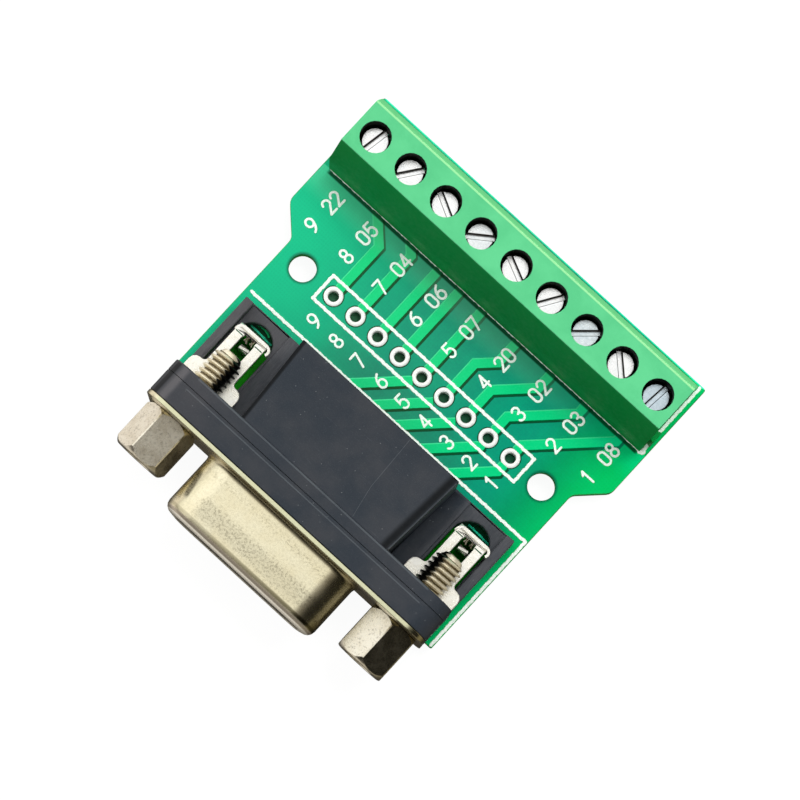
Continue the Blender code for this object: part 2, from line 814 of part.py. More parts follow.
def make_poles():
    low = HEAD_TOP_Z - HEAD_H
    screw = turned(
        [
            (0.6, BAR_Z[1] + 0.05),
            (SHANK_R, BAR_Z[1] + 0.35),
            (SHANK_R, low),
            (HEAD_R, low),
            (HEAD_R, HEAD_TOP_Z - 0.12),
            (HEAD_R - 0.12, HEAD_TOP_Z),
        ],
        16,
    )
    cage = slab(
        [
            rounded_rect(-CAGE_HALF, CAGE_Z[0], CAGE_HALF, CAGE_Z[1], [0.3] * 4, steps=2),
            rounded_rect(
                -CAGE_WINDOW_HALF,
                CAGE_WINDOW_Z[0],
                CAGE_WINDOW_HALF,
                CAGE_WINDOW_Z[1],
                [0] * 4,
            ),
        ],
        -CAGE_DEPTH / 2,
        CAGE_DEPTH / 2,
        FROM_FRONT,
    )
    bar = box((-0.95, BAR_Y[0], BAR_Z[0]), (0.95, BAR_Y[1], BAR_Z[1]))
    for number in range(1, POLES + 1):
        x = pole_x(number) * MM
        piece = add(
            "terminal_screw_%d" % number, screw.copy(), ZINC_SCREW, PARTS, smooth=True
        )
        piece.parent = ROOT
        piece.location = (x, SCREW_Y * MM, 0)
        piece.rotation_euler = (0, 0, math.radians(SLOT_ANGLES[number - 1]))
        slot = cutter(
            "driver_slot_%d" % number,
            box(
                (-2, -SLOT_W / 2, HEAD_TOP_Z - SLOT_DEPTH), (2, SLOT_W / 2, HEAD_TOP_Z + 1)
            ),
        )
        slot.location = piece.location
        slot.rotation_euler = piece.rotation_euler
        boolean(piece, "DIFFERENCE", slot)

        piece = add("clamp_cage_%d" % number, cage.copy(), BRIGHT_TIN, PARTS)
        piece.parent = ROOT
        piece.location = (x, SCREW_Y * MM, 0)
        hole = cutter(
            "cage_thread_%d" % number,
            turned([(SHANK_R + 0.06, 4.2), (SHANK_R + 0.06, 5.4)], 16),
        )
        hole.location = piece.location
        boolean(piece, "DIFFERENCE", hole)

        piece = add("terminal_pin_%d" % number, bar.copy(), BRIGHT_TIN, PARTS)
        piece.parent = ROOT
        piece.location = (x, 0, 0)
        leg = cutter(
            "pin_leg_%d" % number,
            box((-0.45, LEG_Y[0], TAIL_Z), (0.45, LEG_Y[1], BAR_Z[0] + 0.3)),
        )
        leg.location = piece.location
        boolean(piece, "UNION", leg)


make_board()
make_shell()
make_front_insulator()
make_rear_insulator()
make_contacts()
make_jackscrews()
make_board_locks()
make_terminal_housing()
make_poles()
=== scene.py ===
"""Looks for the nine-way D-sub socket to screw-terminal adapter.

Everything is laid out in the board frame (millimetres, origin at the middle
header hole on the board's top face, +Y towards the terminal block) and moved
into the row frame by SHIFT.
"""

import math

import bmesh
import bpy
from mathutils import Matrix, Vector

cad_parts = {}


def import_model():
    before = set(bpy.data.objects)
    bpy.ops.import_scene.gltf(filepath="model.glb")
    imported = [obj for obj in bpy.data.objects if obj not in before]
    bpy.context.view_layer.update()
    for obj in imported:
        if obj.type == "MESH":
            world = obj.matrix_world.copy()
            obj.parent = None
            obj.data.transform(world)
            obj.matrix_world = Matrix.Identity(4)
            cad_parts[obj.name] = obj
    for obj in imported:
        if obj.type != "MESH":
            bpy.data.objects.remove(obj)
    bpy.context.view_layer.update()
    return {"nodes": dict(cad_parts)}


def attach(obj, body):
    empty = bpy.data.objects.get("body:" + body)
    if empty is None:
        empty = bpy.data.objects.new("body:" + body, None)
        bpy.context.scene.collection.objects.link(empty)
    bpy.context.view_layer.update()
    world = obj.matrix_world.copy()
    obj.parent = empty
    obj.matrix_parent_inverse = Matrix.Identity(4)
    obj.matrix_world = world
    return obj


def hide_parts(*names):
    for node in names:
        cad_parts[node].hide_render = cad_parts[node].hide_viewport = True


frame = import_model()

MM = 0.001
SHIFT = Vector((0.0, 3.82, 3.1))  # board frame to row frame
POLES = 9
HEADER_PITCH = 2.54
TERM_PITCH = 3.96
CONTACT_PITCH = 2.77
AXIS_Z = 6.3
JACK_X = 12.495
FLANGE_FRONT_Y = -17.2
HEX_FRONT_Y = -21.7
SCREW_Y = 11.22
SLOT_ANGLES = (84.5, -43.0, 42.5, 58.0, -24.5, 36.5, -27.0, 54.0, 80.0)
SIDES = (("left", -1), ("right", 1))


def world(x, y, z):
    """A board-frame point in millimetres as a row-frame point in metres."""
    return (Vector((x, y, z)) + SHIFT) * MM


def srgb(r, g, b):
    """Linear colour of an 8-bit display colour."""
    out = []
    for value in (r, g, b):
        c = value / 255.0
        out.append(c / 12.92 if c <= 0.04045 else ((c + 0.055) / 1.055) ** 2.4)
    return tuple(out)


# =================================================================== materials
class Shader:
    """A Principled material with short calls for its nodes. Coordinates are in mm."""

    def __init__(self, name):
        self.material = bpy.data.materials.new(name)
        self.material.use_nodes = True
        self.tree = self.material.node_tree
        self.bsdf = self.tree.nodes["Principled BSDF"]
        place = self.tree.nodes.new("ShaderNodeTexCoord")
        scale = self.tree.nodes.new("ShaderNodeMapping")
        scale.inputs["Scale"].default_value = (1000.0, 1000.0, 1000.0)
        self.link(place.outputs["Object"], scale.inputs["Vector"])
        self.mm = scale.outputs["Vector"]

    def link(self, a, b):
        self.tree.links.new(a, b)

    def put(self, socket, value):
        if hasattr(value, "links"):
            self.link(value, socket)
        elif isinstance(value, tuple) and len(value) == 3 and len(socket.default_value) == 4:
            socket.default_value = (*value, 1.0)
        else:
            socket.default_value = value

    def set(self, **values):
        for key, value in values.items():
            self.put(self.bsdf.inputs[key.replace("_", " ").title().replace("Ior", "IOR")], value)
        return self

    def turned(self, rotation=(0, 0, 0), scale=(1, 1, 1), vector=None):
        node = self.tree.nodes.new("ShaderNodeMapping")
        node.inputs["Rotation"].default_value = [math.radians(v) for v in rotation]
        node.inputs["Scale"].default_value = scale
        self.link(vector or self.mm, node.inputs["Vector"])
        return node.outputs["Vector"]

    def noise(self, scale, detail=3.0, roughness=0.55, distortion=0.0, vector=None):
        node = self.tree.nodes.new("ShaderNodeTexNoise")
        node.inputs["Scale"].default_value = scale
        node.inputs["Detail"].default_value = detail
        node.inputs["Roughness"].default_value = roughness
        node.inputs["Distortion"].default_value = distortion
        self.link(vector or self.mm, node.inputs["Vector"])
        return node.outputs["Fac"]

    def cells(self, scale, vector=None, feature="F1"):
        node = self.tree.nodes.new("ShaderNodeTexVoronoi")
        node.feature = feature
        node.inputs["Scale"].default_value = scale
        self.link(vector or self.mm, node.inputs["Vector"])
        return node.outputs["Distance"]

    def wave(self, scale, distortion=0.0, vector=None, direction="X"):
        node = self.tree.nodes.new("ShaderNodeTexWave")
        node.bands_direction = direction
        node.inputs["Scale"].default_value = scale
        node.inputs["Distortion"].default_value = distortion
        self.link(vector or self.mm, node.inputs["Vector"])
        return node.outputs["Fac"]

    def ramp(self, factor, *stops):
        """Stops are (position, colour or grey)."""
        node = self.tree.nodes.new("ShaderNodeValToRGB")
        band = node.color_ramp
        while len(band.elements) < len(stops):
            band.elements.new(0.5)
        for element, (position, colour) in zip(band.elements, stops):
            element.position = position
            if not isinstance(colour, tuple):
                colour = (colour,) * 3
            element.color = (*colour, 1.0)
        self.link(factor, node.inputs["Fac"])
        return node.outputs["Color"]

    def mix(self, factor, a, b, kind="MIX"):
        node = self.tree.nodes.new("ShaderNodeMix")
        node.data_type = "RGBA"
        node.blend_type = kind
        node.clamp_factor = True
        self.put(node.inputs["Factor"], factor)
        self.put(node.inputs["A"] if False else node.inputs[6], a)
        self.put(node.inputs[7], b)
        return node.outputs[2]

    def math(self, kind, a, b=0.0, c=0.0, clamp=False):
        node = self.tree.nodes.new("ShaderNodeMath")
        node.operation = kind
        node.use_clamp = clamp
        for socket, value in zip(node.inputs, (a, b, c)):
            self.put(socket, value)
        return node.outputs[0]

    def axis(self, which, vector=None):
        node = self.tree.nodes.new("ShaderNodeSeparateXYZ")
        self.link(vector or self.mm, node.inputs[0])
        return node.outputs["XYZ".index(which)]

    def normal_axis(self, which):
        node = self.tree.nodes.new("ShaderNodeNewGeometry")
        return self.axis(which, node.outputs["Normal"])

    def span(self, value, low, high, out_low=0.0, out_high=1.0, smooth=True):
        node = self.tree.nodes.new("ShaderNodeMapRange")
        node.interpolation_type = "SMOOTHSTEP" if smooth else "LINEAR"
        node.clamp = True
        self.put(node.inputs["Value"], value)
        node.inputs["From Min"].default_value = low
        node.inputs["From Max"].default_value = high
        node.inputs["To Min"].default_value = out_low
        node.inputs["To Max"].default_value = out_high
        return node.outputs["Result"]

    def bump(self, height, strength, distance, below=None):
        node = self.tree.nodes.new("ShaderNodeBump")
        node.inputs["Strength"].default_value = strength
        node.inputs["Distance"].default_value = distance * MM
        self.link(height, node.inputs["Height"])
        if below is not None:
            self.link(below, node.inputs["Normal"])
        return node.outputs["Normal"]


def mask_weave(s):
    across = s.wave(1.25, 0.6, s.turned((0, 0, 0)), "X")
    along = s.wave(1.1, 0.6, s.turned((0, 0, 0)), "Y")
    return s.math("MULTIPLY", across, along)


def beside_block(s, colour, depth=0.9):
    """The mask's colour near the terminal block: greyer towards the left, paler and warmer in painted bounce light, and
    almost black in a painted shadow at its foot.
    """
    x, y = s.axis("X"), s.axis("Y")
    colour = s.mix(s.span(x, 8.0, -1.0), colour, (0.013, 0.0, 0.0), "ADD")
    # painted bounce light: paler and warmer in front of the block
    lift = s.math("MULTIPLY", s.span(y, 8.6, 10.8), s.span(y, 11.7, 11.6))
    colour = s.mix(lift, colour, (0.0, 0.15, 0.09), "ADD")
    warm_bounce_light = s.math("MULTIPLY", lift, s.span(x, 15.0, 3.0))
    colour = s.mix(warm_bounce_light, colour, (0.055, 0.03, 0.02), "ADD")
    # painted shadow, almost black, along the block's foot
    foot = s.math("MULTIPLY", s.span(y, 11.16, 11.32), s.span(y, 12.7, 12.4))
    foot = s.math("MULTIPLY", foot, s.span(s.math("ABSOLUTE", x), 17.9, 17.5))
    return s.mix(s.math("MULTIPLY", foot, depth), colour, (0.0, 0.035, 0.006))


def mask_finish(s, colour, rough):
    colour = beside_block(s, colour, 0.5 if "track" in s.material.name else 0.9)
    fine = s.noise(5.0, 4.0, 0.6)
    weave = mask_weave(s)
    s.set(
        base_color=colour,
        roughness=s.span(s.noise(2.2, 4.0), 0.3, 0.7, rough - 0.06, rough + 0.1),
        specular_ior_level=0.03,
        normal=s.bump(s.math("ADD", s.math("MULTIPLY", weave, 0.4), fine), 0.2, 0.02),
    )
    return s.material


def mask_material(name, deep, light, rough=0.4):
    """Solder mask over glass cloth: faint weave, cloudy thickness, painted light towards both ends, and painted shade
    round the open holes.
    """
    s = Shader(name)
    cloud = s.noise(0.3, 3.0, 0.6)
    fine = s.noise(5.0, 4.0, 0.6)
    x = s.axis("X")
    # painted light towards both ends of the board
    left = s.span(x, -2.0, -16.5)
    right = s.span(x, 12.6, 17.8)
    if name == "mask_green":
        under = s.math("MULTIPLY", s.span(s.math("ABSOLUTE", x), 9.5, 7.5), s.span(s.axis("Y"), 2.6, 1.9))
        colour = s.mix(s.math("MULTIPLY", under, 0.25), deep, (0.03, 0.13, 0.08))
        # painted light: greener towards the right end
        colour = s.mix(s.span(x, 10.0, 14.0, 0.0, 0.8), colour, (0.0, 0.29, 0.085))
        colour = s.mix(left, colour, (0.0005, light[1] * 0.8, light[2] * 0.92))
        colour = s.mix(right, colour, (0.0, light[1] * 0.88, light[2] * 0.45))
    else:
        colour = s.mix(s.math("ADD", left, right, clamp=True), deep, light)
    colour = s.mix(s.span(cloud, 0.35, 0.75, 0.0, 0.12), colour, light)
    colour = s.mix(s.math("MULTIPLY", s.span(fine, 0.35, 0.75), 0.1), colour, light)
    colour = s.mix(s.math("MULTIPLY", mask_weave(s), 0.1), colour, tuple(v * 0.6 for v in deep))
    # painted shade round the two open holes
    dx = s.math("SUBTRACT", s.math("ABSOLUTE", x), 13.71)
    dy = s.math("SUBTRACT", s.axis("Y"), 3.82)
    far = s.math("SQRT", s.math("ADD", s.math("MULTIPLY", dx, dx), s.math("MULTIPLY", dy, dy)))
    colour = s.mix(s.span(far, 1.5, 1.22, 0.0, 0.75), colour, tuple(v * 0.3 for v in deep))
    return mask_finish(s, colour, rough)


def track_material(name, body, rim, track_shadow):
    """Mask over raised copper: its flank towards the window is painted paler as if lit, its far flank is painted in
    shade.
    """
    s = Shader(name)
    cloud = s.noise(0.6, 3.0, 0.6)
    fine = s.noise(6.0, 4.0, 0.6)
    colour = s.mix(s.span(cloud, 0.3, 0.7, 0.0, 0.3), body, tuple(v * 1.12 for v in body))
    colour = s.mix(s.math("MULTIPLY", s.span(fine, 0.4, 0.75), 0.15), colour, rim)
    # painted light and shade on each flank, by the way it faces
    facing = s.math("SUBTRACT", s.math("MULTIPLY", s.normal_axis("Y"), 0.5), s.math("MULTIPLY", s.normal_axis("X"), 0.85))
    colour = s.mix(s.span(facing, 0.12, 0.3), colour, rim)
    colour = s.mix(s.span(facing, -0.12, -0.3), colour, track_shadow)
    return mask_finish(s, colour, 0.38)


def edge_material():
    """Routed laminate edge: stacked glass layers under green mask."""
    s = Shader("laminate_edge")
    layers = s.noise(2.0, 4.0, 0.7, vector=s.turned((0, 0, 0), (0.25, 0.25, 5.0)))
    grain = s.noise(9.0, 3.0, 0.6, vector=s.turned((0, 0, 0), (1.0, 1.0, 0.3)))
    colour = s.mix(s.span(layers, 0.3, 0.7), srgb(0, 118, 48), srgb(46, 186, 92))
    colour = s.mix(s.span(grain, 0.55, 0.8, 0.0, 0.5), colour, srgb(150, 205, 120))
    s.set(
        base_color=colour,
        roughness=s.span(grain, 0.3, 0.7, 0.45, 0.7),
        normal=s.bump(grain, 0.4, 0.03),
    )
    return s.material


def ink_material():
    s = Shader("silk_ink")
    cover = s.noise(9.0, 4.0, 0.65)
    colour = s.mix(s.span(cover, 0.3, 0.62), srgb(196, 226, 205), srgb(250, 253, 249))
    s.set(
        base_color=colour,
        roughness=0.55,
        normal=s.bump(cover, 0.25, 0.01),
        # emission: a faint painted glow, so the print stays white in shade
        emission_color=(0.9, 1.0, 0.94),
        emission_strength=0.12,
    )
    return s.material


def metal(
    name,
    bright,
    dull,
    rough=(0.22, 0.38),
    blotch=1.2,
    scratch=0.0,
    direction=(0, 0, 0),
    dark_spots=None,
    bump=0.1,
    speckle=0.3,
    metallic=1.0,
    shade=None,
    grit=9.0,
):
    """Plated metal: cloudy plating, fine speckle, directional scratches."""
    s = Shader(name)
    cloud = s.noise(blotch, 4.0, 0.6, 0.2)
    grain = s.noise(grit, 4.0, 0.7)
    lines = s.noise(5.0, 5.0, 0.72, vector=s.turned(direction, (0.35, 9.0, 9.0)))
    colour = s.mix(s.span(cloud, 0.25, 0.75), dull, bright)
    colour = s.mix(s.span(grain, 0.52, 0.66, 0.0, speckle), colour, tuple(v * 0.5 for v in dull))
    if scratch:
        colour = s.mix(s.span(lines, 0.55, 0.7, 0.0, scratch), colour, tuple(v * 0.5 for v in dull))
        colour = s.mix(s.span(lines, 0.42, 0.3, 0.0, scratch), colour, (0.98, 0.98, 0.97))
    if dark_spots:
        spots = s.span(s.noise(3.0, 5.0, 0.7, 0.4), 0.64, 0.76)
        colour = s.mix(s.math("MULTIPLY", spots, 0.6), colour, dark_spots)
    if shade:
        colour = shade(s, colour)
    rough_map = s.span(s.math("ADD", s.math("MULTIPLY", lines, 0.5), s.math("MULTIPLY", cloud, 0.5)), 0.3, 0.7, *rough)
    s.set(
        base_color=colour,
        metallic=metallic,
        roughness=rough_map,
        normal=s.bump(lines if scratch else grain, bump, 0.02, s.bump(grain, bump * 0.6, 0.01)),
    )
    return s


def shell_material():
    """Formed nickel sheet: smooth cream plating with bands of fine grey speckle; painted shade at its root and down its
    flanks, and a painted dark reflection on its right flank.
    """
    s = Shader("shell_plating")
    cloud = s.noise(0.4, 3.0, 0.6)
    speckle = s.noise(4.8, 5.0, 0.8)
    streak = s.noise(1.0, 4.0, 0.65, vector=s.turned((0, 0, 0), (0.16, 0.75, 0.75)))
    drawn = s.noise(4.0, 4.0, 0.7, vector=s.turned((0, 0, 0), (0.3, 3.0, 3.0)))
    along = s.axis("Y")
    colour = s.mix(s.span(cloud, 0.3, 0.7), srgb(232, 222, 188), srgb(245, 237, 206))
    # two bands of speckle along the D, one behind its middle and a wider one towards the mouth
    behind = s.span(s.math("ABSOLUTE", s.math("ADD", along, 14.6)), 0.5, 0.05, 0.0, 0.35)
    before = s.span(s.math("ABSOLUTE", s.math("ADD", along, 17.3)), 1.25, 0.35)
    before = s.math("MULTIPLY", before, s.span(s.axis("X"), -6.3, -5.4))
    bands = s.math("MAXIMUM", behind, before)
    worn = s.math("MULTIPLY", bands, s.span(streak, 0.34, 0.58, 0.3, 1.0))
    worn = s.math("ADD", worn, 0.12, clamp=True)
    dots = s.math("MULTIPLY", s.span(speckle, 0.47, 0.6), worn)
    colour = s.mix(s.math("MULTIPLY", dots, 0.92), colour, srgb(122, 114, 90))
    colour = s.mix(s.math("MULTIPLY", before, 0.5), colour, srgb(206, 199, 172))
    # painted dark reflection down the right flank
    flank = s.math("MULTIPLY", s.span(s.axis("X"), 7.35, 7.8), s.span(s.axis("Z"), 13.2, 12.4))
    colour = s.mix(s.math("MULTIPLY", flank, 0.7), colour, srgb(104, 94, 44))
    # a dark patch on the left flank beside the flange, and the rim, where the plating is dull and pale
    spot = s.math("ABSOLUTE", s.math("ADD", s.math("ADD", s.axis("X"), s.math("MULTIPLY", along, 0.18)), 10.43))
    spot = s.math("MULTIPLY", s.span(spot, 0.36, 0.1), s.span(s.math("ABSOLUTE", s.math("ADD", along, 16.3)), 1.5, 0.9))
    colour = s.mix(s.math("MULTIPLY", spot, s.span(speckle, 0.35, 0.6, 1.0, 0.6)), colour, srgb(58, 52, 36))
    # painted shade along the lower edge of the top face
    shade = s.span(s.math("ABSOLUTE", s.math("ADD", along, 18.56)), 0.24, 0.06)
    shade = s.math("MULTIPLY", shade, s.span(s.axis("X"), -8.0, 7.0, 0.35, 0.85))
    colour = s.mix(shade, colour, srgb(96, 88, 58))
    edge = s.span(along, -18.7, -18.84)
    mouth = s.span(along, -18.98, -19.1)
    colour = s.mix(edge, colour, srgb(176, 164, 146))
    colour = s.mix(mouth, colour, srgb(246, 240, 226))
    colour = s.mix(s.span(drawn, 0.56, 0.72, 0.0, 0.22), colour, srgb(158, 146, 112))
    # painted shade in the fillet at the foot of the D
    root = s.span(along, -14.15, -13.5)  # fillet at the foot of the D, row frame
    root = s.math("MULTIPLY", root, s.span(s.axis("Z"), 15.0, 14.3))
    colour = s.mix(s.math("MULTIPLY", root, 0.4), colour, srgb(134, 120, 76))
    sheet = s.math("MULTIPLY", s.span(along, -13.5, -13.42), s.span(s.axis("Z"), 15.3, 15.45))
    colour = s.mix(s.math("MULTIPLY", sheet, 0.6), colour, srgb(204, 210, 172))
    low = s.span(s.axis("Z"), 9.6, 6.6)  # painted shade down the lower flanks
    colour = s.mix(s.math("MULTIPLY", low, 0.45), colour, srgb(126, 108, 60))
    s.set(
        base_color=colour,
        metallic=s.math("MULTIPLY_ADD", mouth, -0.3, s.math("MULTIPLY_ADD", edge, -0.5, 1.0)),
        roughness=s.span(s.math("ADD", s.math("MULTIPLY", speckle, 0.6), s.math("MULTIPLY", cloud, 0.4)), 0.3, 0.7, 0.2, 0.34),
        normal=s.bump(speckle, 0.16, 0.012, s.bump(cloud, 0.1, 0.1)),
    )
    return s.material


def black_material(name, deep, light):
    """Glass-filled black plastic: bluish haze, pale specks, hairline scratches, and painted light, shade and highlight
    where noted below.
    """
    s = Shader(name)
    cloud = s.noise(0.3, 4.0, 0.6)
    fine = s.noise(12.0, 3.0, 0.6)
    dust = s.cells(1.7)
    hair_a = s.noise(3.0, 3.0, 0.7, vector=s.turned((0, 0, 38), (0.16, 7.0, 2.0)))
    hair_b = s.noise(2.4, 3.0, 0.7, vector=s.turned((0, 0, -64), (0.13, 6.0, 2.0)))
    colour = s.mix(s.span(cloud, 0.3, 0.7), deep, light)
    colour = s.mix(s.span(fine, 0.5, 0.8, 0.0, 0.35), colour, (0.082, 0.09, 0.1))
    colour = s.mix(s.span(dust, 0.06, 0.03, 0.0, 0.7), colour, (0.3, 0.32, 0.33))
    colour = s.mix(s.span(hair_a, 0.66, 0.74, 0.0, 0.3), colour, (0.12, 0.13, 0.145))
    colour = s.mix(s.span(hair_b, 0.68, 0.75, 0.0, 0.3), colour, (0.12, 0.13, 0.145))
    x, y, z = s.axis("X"), s.axis("Y"), s.axis("Z")
    # painted light on the low decks beside the hood, broken up by drag marks of the mould
    deck = s.math("MULTIPLY", s.span(z, 8.4, 8.0), s.span(y, -10.2, -9.6))
    drag = s.noise(2.0, 4.0, 0.7, vector=s.turned((0, 0, 0), (5.0, 0.5, 1.0)))
    pale = s.math("MAXIMUM", s.span(x, -8.3, -8.6), s.span(x, 9.6, 10.3))
    pale = s.math("MULTIPLY", s.math("MULTIPLY", pale, deck), s.span(drag, 0.2, 0.8, 0.35, 1.0))
    colour = s.mix(pale, colour, (0.045, 0.043, 0.045), "ADD")
    # painted shade along both sides of the hood's roof, where it falls away
    roof = s.math("MULTIPLY", s.span(z, 14.6, 15.0), s.span(y, -9.75, -9.6))
    brink = s.math("MULTIPLY_ADD", s.math("ADD", y, 9.97), 0.065, 8.1)
    right = s.span(s.math("ABSOLUTE", s.math("ADD", s.math("SUBTRACT", x, brink), 0.42)), 0.62, 0.08)
    left = s.span(s.math("ABSOLUTE", s.math("ADD", s.math("ADD", x, brink), -0.06)), 0.34, 0.12)
    roof_edge_shade = s.math("MULTIPLY", s.math("MAXIMUM", right, left), roof)
    colour = s.mix(s.math("MULTIPLY", roof_edge_shade, 0.93), colour, (0.002, 0.003, 0.004))
    # painted shade on the flange's left end, where it rounds, a painted highlight beside it, and painted light over
    # everything left of the hood
    flange = s.span(y, -9.75, -9.85)
    end = s.math("MULTIPLY", s.span(s.math("ABSOLUTE", s.math("ADD", x, 14.88)), 0.3, 0.12), flange)
    end_highlight = s.math("MULTIPLY", s.span(s.math("ABSOLUTE", s.math("ADD", x, 14.1)), 0.55, 0.1), flange)
    colour = s.mix(end_highlight, colour, (0.055, 0.05, 0.05), "ADD")
    colour = s.mix(s.span(x, -8.6, -12.0), colour, (0.02, 0.016, 0.014), "ADD")
    colour = s.mix(s.math("MULTIPLY", end, 0.8), colour, (0.004, 0.005, 0.006))
    s.set(
        base_color=colour,
        roughness=s.span(s.noise(3.0, 4.0), 0.3, 0.7, 0.36, 0.5),
        specular_ior_level=0.16,
        normal=s.bump(fine, 0.2, 0.02, s.bump(hair_a, 0.1, 0.02)),
    )
    return s.material


def housing_material():
    """Green nylon: flow clouds, fine spark-eroded texture, painted light on its back edge and painted shade down its
    front.
    """
    s = Shader("housing_plastic")
    cloud = s.noise(0.3, 3.0, 0.6, 0.3)
    fine = s.noise(10.0, 4.0, 0.62)
    scuff = s.noise(3.0, 4.0, 0.7, vector=s.turned((0, 0, 8), (0.3, 6.0, 3.0)))
    colour = s.mix(s.span(cloud, 0.3, 0.7), (0.095, 0.535, 0.232), (0.118, 0.60, 0.268))
    colour = s.mix(s.span(fine, 0.5, 0.8, 0.0, 0.25), colour, (0.18, 0.70, 0.35))
    colour = s.mix(s.span(scuff, 0.68, 0.78, 0.0, 0.25), colour, (0.36, 0.84, 0.5))
    # painted light: paler back edge and faces turned back towards the light
    lean = s.math("MAXIMUM", s.span(s.normal_axis("Y"), 0.3, 0.75), s.span(s.axis("Y"), 17.24, 17.3))
    back_edge_light = s.math("MULTIPLY", lean, s.span(s.axis("Z"), 10.9, 11.6))
    turned = s.span(s.normal_axis("Z"), 0.9, 0.6)
    pale = s.mix(turned, (0.33, 0.78, 0.36), (0.24, 1.0, 0.40))
    colour = s.mix(s.math("MULTIPLY", back_edge_light, 0.95), colour, pale)
    # painted shade: deeper, purer green where the moulding turns away below its top
    side = s.span(s.axis("Z"), 13.83, 13.68)
    front_shade = s.math("MULTIPLY", side, s.span(s.axis("Y"), 14.6, 13.2))
    colour = s.mix(s.math("MULTIPLY", front_shade, 0.97), colour, (0.0005, 0.285, 0.05))
    s.set(
        base_color=colour,
        roughness=s.span(s.noise(2.6, 4.0), 0.3, 0.7, 0.4, 0.55),
        specular_ior_level=0.08,
        normal=s.bump(fine, 0.14, 0.02),
    )
    return s.material


def deep_housing_material(name, deep, light, drawn):
    """The same nylon inside bores and pockets, where hardly any light reaches: a darker copy that paints their shade.
    """
    s = Shader(name)
    cloud = s.noise(1.2, 4.0, 0.6)
    drag = s.noise(3.0, 4.0, 0.7, vector=s.turned((0, 0, 0), (4.0, 4.0, 0.6)))
    colour = s.mix(s.span(cloud, 0.3, 0.7), deep, light)
    colour = s.mix(s.span(drag, 0.6, 0.75, 0.0, 0.4), colour, drawn)
    s.set(
        base_color=colour,
        roughness=s.span(cloud, 0.3, 0.7, 0.5, 0.65),
        specular_ior_level=0.03,
        normal=s.bump(drag, 0.15, 0.02),
    )
    return s.material


MASK = mask_material("mask_green", (0.003, 0.285, 0.175), (0.001, 0.62, 0.27))
MASK_TRACK = track_material("mask_over_copper", (0.001, 0.62, 0.215), (0.05, 0.76, 0.33), (0.0, 0.125, 0.035))
# lit and shaded copies of the mask: painted light on the board's back edge and in reflections, painted shade under the
# recess and down the holes, and a painted glint
MASK_LIT = mask_material("mask_edge_light", (0.02, 0.86, 0.50), (0.04, 0.95, 0.56), 0.4)
MASK_DEEP = mask_material("mask_in_shade", (0.002, 0.075, 0.03), (0.003, 0.11, 0.045), 0.4)
MASK_RECESS = mask_material("mask_in_recess_shade", (0.0005, 0.24, 0.004), (0.001, 0.30, 0.012), 0.4)
MASK_GLINT = mask_material("mask_glint", (0.002, 0.90, 0.26), (0.01, 0.95, 0.32), 0.4)
MASK_HOLE = mask_material("mask_in_hole_shade", (0.015, 0.10, 0.05), (0.025, 0.14, 0.075), 0.4)
EDGE = edge_material()
INK = ink_material()
SHELL = shell_material()
BLACK = black_material("insulator_plastic", (0.025, 0.032, 0.042), (0.040, 0.044, 0.052))
# paler copy for the parting line and the painted highlights on the blocks
BLACK_PALE = black_material("insulator_parting_line_and_highlights", (0.058, 0.068, 0.08), (0.082, 0.094, 0.105))
HOUSING = housing_material()
# painted shade: darker copies of the nylon for the pockets and the bores
HOUSING_DEEP = deep_housing_material("housing_inside_shade", (0.001, 0.04, 0.014), (0.003, 0.075, 0.028), (0.01, 0.14, 0.055))
HOUSING_BORE = deep_housing_material("housing_bore_shade", (0.0001, 0.003, 0.001), (0.0003, 0.009, 0.003), (0.002, 0.04, 0.012))
PAD = metal("pad_tin", srgb(255, 255, 253), srgb(244, 247, 244), (0.3, 0.42), 2.5, speckle=0.1, metallic=0.35).material
SOLDER = metal("solder", srgb(238, 240, 240), srgb(190, 194, 198), (0.12, 0.3), 1.6, bump=0.2, speckle=0.1).material
TIN = metal(
    "bracket_tin", srgb(255, 254, 247), srgb(244, 240, 226), (0.24, 0.36), 1.4, 0.2, (0, 0, 90), None, 0.12, 0.1, 0.6
).material
NICKEL = metal(
    "jackscrew_plating",
    srgb(246, 240, 223),
    srgb(220, 212, 192),
    (0.2, 0.34),
    0.8,
    0.16,
    (0, 0, 90),
    bump=0.14,
    speckle=0.65,
    grit=4.6,
).material


def thread_shade(s, colour):
    """The side of a jackscrew's thread that faces the connector's middle lies in shade, crest by crest."""
    reach = s.math("ADD", s.math("ABSOLUTE", s.axis("X")), s.math("MULTIPLY", s.wave(0.628, 0.0, None, "Y"), 0.34))
    return s.mix(s.span(reach, 12.26, 12.04), colour, (0.004, 0.004, 0.003))


THREAD = metal(
    "thread_plating",
    srgb(250, 243, 220),
    srgb(234, 222, 190),
    (0.24, 0.38),
    0.9,
    0.12,
    (0, 0, 90),
    None,
    0.14,
    0.2,
    0.45,
    thread_shade,
).material
GOLD = metal("contact_gold", srgb(232, 196, 112), srgb(186, 140, 62), (0.2, 0.32), 2.0, speckle=0.15).material
CLAMP = metal("clamp_tin", srgb(226, 226, 220), srgb(176, 176, 168), (0.24, 0.4), 1.5, 0.25, speckle=0.15).material


# painted shade: the darker finish of the thread's roots
THREAD_ROOT = metal(
    "thread_root",
    srgb(120, 104, 72),
    srgb(80, 70, 46),
    (0.3, 0.45),
    0.9,
    0.1,
    (0, 0, 90),
    None,
    0.1,
    0.2,
    0.5,
    thread_shade,
).material
